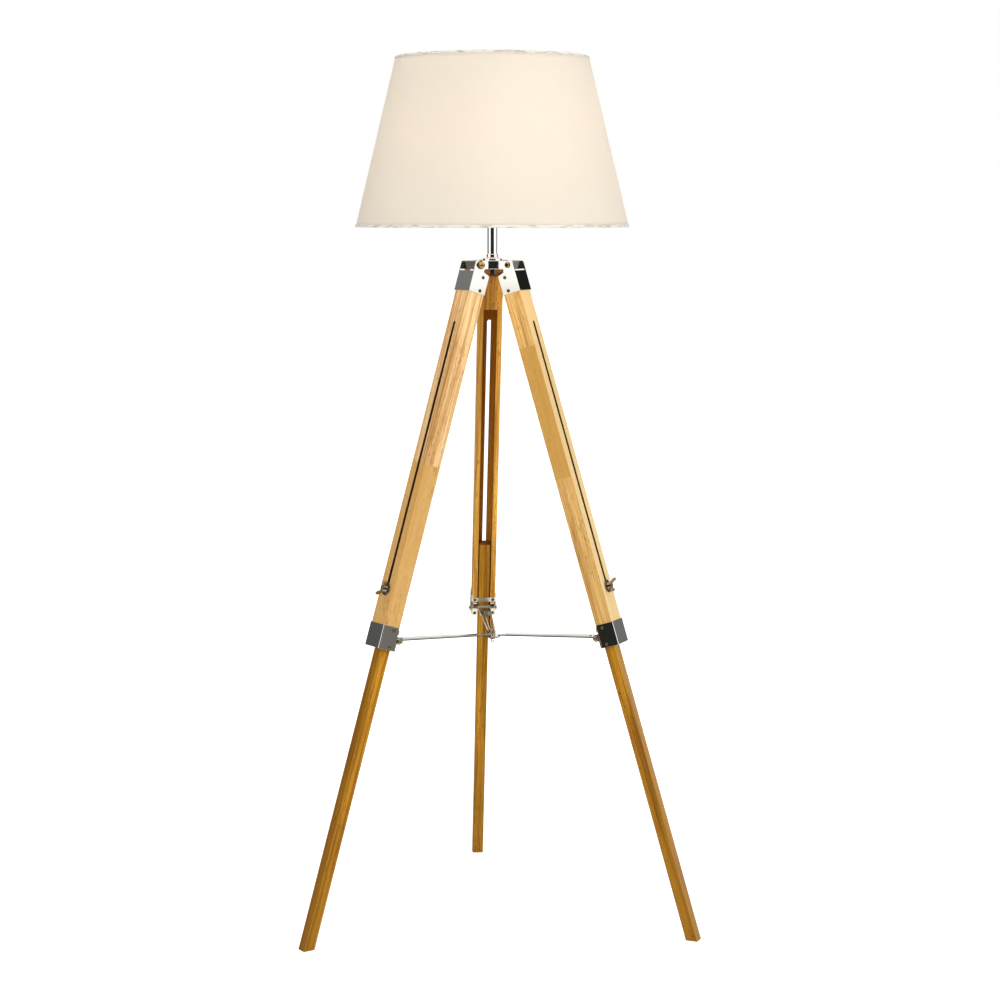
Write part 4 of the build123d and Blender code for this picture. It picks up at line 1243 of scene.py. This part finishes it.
def arm_place(side, way):
    """Matrix of an arm's frame: X along it from the pin, Y across it, Z up."""
    turn = legs[side].to_3x3()
    along, across = turn @ way, across_leg(side)
    if along.cross(across).z < 0:
        across.negate()
    axes = Matrix((along, across, along.cross(across))).transposed().to_4x4()
    return Matrix.Translation(joints[f"spreader_hinge_{side}"]["pos_m"]) @ axes


def build_lips(side, sizes):
    """Two round lips along an arm's edges, tapering in with it and down at their ends."""
    start, end, root, tip, top = sizes
    rows, columns, radius = 60, 12, 1.15 * MM
    vertices, faces = [], []
    for hand in (-1, 1):
        base = len(vertices)
        for row in range(rows):
            share = row / (rows - 1)
            x = start + (end - start) * share
            edge = root + (tip - root) * x / end
            swell = min(1.0, share * 14 + 0.25, (1 - share) * 14 + 0.25)
            for angle in round_angles(columns):
                y = hand * (edge - radius) + radius * swell * math.cos(angle)
                vertices.append((x, y, top - 0.3 * MM + radius * swell * math.sin(angle)))
        faces += rod_faces(rows, columns, base)
    return new_piece(f"arm_lips_{side}", vertices, faces)


way = arm_way()
plain = arm_place("left", way).inverted()
spots = [plain @ v.co for v in frame["nodes"]["arm_left"].data.vertices]
arm_length = max(p.x for p in spots)
arm_tip = max(abs(p.y) for p in spots if p.x > 0.8 * arm_length)
arm_root = max(abs(p.y) for p in spots)
arm_top = max(p.z for p in spots if p.x > arm_length - 1 * MM)
for side in sides:
    lips = build_lips(side, (7 * MM, arm_length - arm_tip, arm_root, arm_tip, arm_top))
    lips.data.transform(arm_place(side, way))
    settle(lips, arm_nickel, f"spreader_{side}", "nickel_plate")
print("arm", round(arm_length / MM, 1), "mm long,", round(2 * arm_tip / MM, 1), "mm wide at its end")

# %% [markdown]
# ## Wing nuts and threaded studs
# A wing nut is cast: a tapered boss with two ears that flare outwards, thinner at
# their tips, and every edge soft. The ear's outline is a smooth curve through a
# few points. The stud's thread is a real helix: its radius rises and falls along
# the rod, and shifts by one pitch in each turn.

# %% Wing nut
ear_points = (
    (3.2, 1.2), (8.6, 3.6), (13.4, 7.0), (14.4, 10.4), (12.2, 13.4), (8.4, 12.2), (5.4, 8.4), (3.2, 6.2),
)


def smooth_loop(points, steps):
    """A closed curve through points, as a list of steps points for each of them."""
    loop = []
    count = len(points)
    for i in range(count):
        p0, p1, p2, p3 = (Vector(points[(i + k) % count]) for k in (-1, 0, 1, 2))
        for step in range(steps):
            t = step / steps
            loop.append(
                0.5 * (2 * p1 + (p2 - p0) * t + (2 * p0 - 5 * p1 + 4 * p2 - p3) * t ** 2
                       + (3 * p1 - p0 - 3 * p2 + p3) * t ** 3)
            )
    return loop


def ear_mesh(direction):
    """One ear: its outline on both faces, thinner towards the tip, and a rim between."""
    outline = smooth_loop(ear_points, 5)
    vertices = []
    for face in (-1, 1):
        for point in outline:
            half = 1.25 - 0.035 * point.x
            vertices.append(Vector((direction * point.x, face * half, point.y)) * MM)
    count = len(outline)
    faces = [tuple(range(count)), tuple(range(2 * count - 1, count - 1, -1))]
    faces += [(i, count + i, count + (i + 1) % count, (i + 1) % count) for i in range(count)]
    if direction < 0:
        faces = [tuple(reversed(face)) for face in faces]
    return vertices, faces


def wing_nut_master():
    """A bored boss and two ears with rounded rims."""
    outer = ((6.0, 0.0), (6.0, 0.9), (5.5, 1.6), (4.9, 6.4), (4.4, 7.0), (3.3, 7.0))
    bore = ((3.07, 6.7), (3.07, 0.3), (3.4, 0.0))
    columns = 40
    faces = ring_grid(len(outer + bore), columns, True)
    boss = new_piece("wing_nut_master", lathe(outer + bore, columns), faces)
    joined = bmesh.new()
    joined.from_mesh(boss.data)
    for direction in (-1, 1):
        ear = bpy.data.meshes.new("ear")
        vertices, faces = ear_mesh(direction)
        ear.from_pydata(vertices, [], faces)
        shape = bmesh.new()
        shape.from_mesh(ear)
        rim = [e for e in shape.edges if abs(e.verts[0].co.y - e.verts[1].co.y) < 0.2 * MM]
        bmesh.ops.bevel(shape, geom=rim, offset=0.45 * MM, segments=3, affect="EDGES", profile=0.6)
        shape.to_mesh(ear)
        shape.free()
        joined.from_mesh(ear)
        bpy.data.meshes.remove(ear)
    bmesh.ops.recalc_face_normals(joined, faces=joined.faces)
    joined.to_mesh(boss.data)
    joined.free()
    boss.data.polygons.foreach_set("use_smooth", [True] * len(boss.data.polygons))
    boss.data.set_sharp_from_angle(angle=math.radians(50))
    return boss


def wing_places():
    """Each wing nut's seat, with its ears turned as the plain nut's are."""
    places = {}
    for side in sides:
        matrix = legs[side]
        low, high = reach_in(matrix, f"wing_nut_{side}")
        centre = Vector(joints[f"wing_turn_{side}"]["pos_m"])
        axis = Vector(joints[f"wing_turn_{side}"]["axis"])
        seat = centre + axis * (low.x - (matrix.inverted() @ centre).x)
        far = max(
            (v.co for v in frame["nodes"][f"wing_nut_{side}"].data.vertices),
            key=lambda p: ((p - seat) - axis * (p - seat).dot(axis)).length,
        )
        ears = (far - seat) - axis * (far - seat).dot(axis)
        ears.normalize()
        turn = Matrix((ears, axis.cross(ears), axis)).transposed().to_4x4()
        places[side] = Matrix.Translation(seat) @ turn
    return places


wing = wing_nut_master()
seats = wing_places()
for side in sides:
    nut = gather(f"wing_nut_cast_{side}", [wing], [seats[side]])
    settle(nut, worn_zinc, f"wing_{side}", "zinc_steel", f"wing_nut_{side}")
discard([wing])


# %% Threaded stud
def threaded_rod(name, length, radius, pitch):
    """A rod along Z from the origin, with a helical thread cut into its radius."""
    depth, columns = 0.30 * MM, 32
    rows = int(length / pitch * 8)
    vertices = []
    for row in range(rows + 1):
        height = length * row / rows
        taper = min(1.0, (length - height) / (0.8 * MM) + 0.6, height / (0.8 * MM) + 0.6)
        for i in range(columns):
            phase = (height / pitch - i / columns) % 1.0
            ridge = abs(phase - 0.5) * 2
            r = (radius - depth * ridge) * taper
            angle = 2 * math.pi * i / columns
            vertices.append((r * math.cos(angle), r * math.sin(angle), height))
    return new_piece(name, vertices, rod_faces(rows + 1, columns))


for side in sides:
    low, high = reach_in(legs[side], f"clamp_stud_{side}")
    rod = threaded_rod(f"threaded_stud_{side}", high.x - low.x, (high.y - low.y) / 2, 1.0 * MM)
    middle = legs[side] @ Vector((low.x, (low.y + high.y) / 2, (low.z + high.z) / 2))
    rod.data.transform(axis_place(middle, legs[side].to_3x3() @ Vector((1, 0, 0))))
    settle(rod, worn_zinc, f"lower_{side}", "zinc_steel", f"clamp_stud_{side}")
print("wing nuts and studs built")
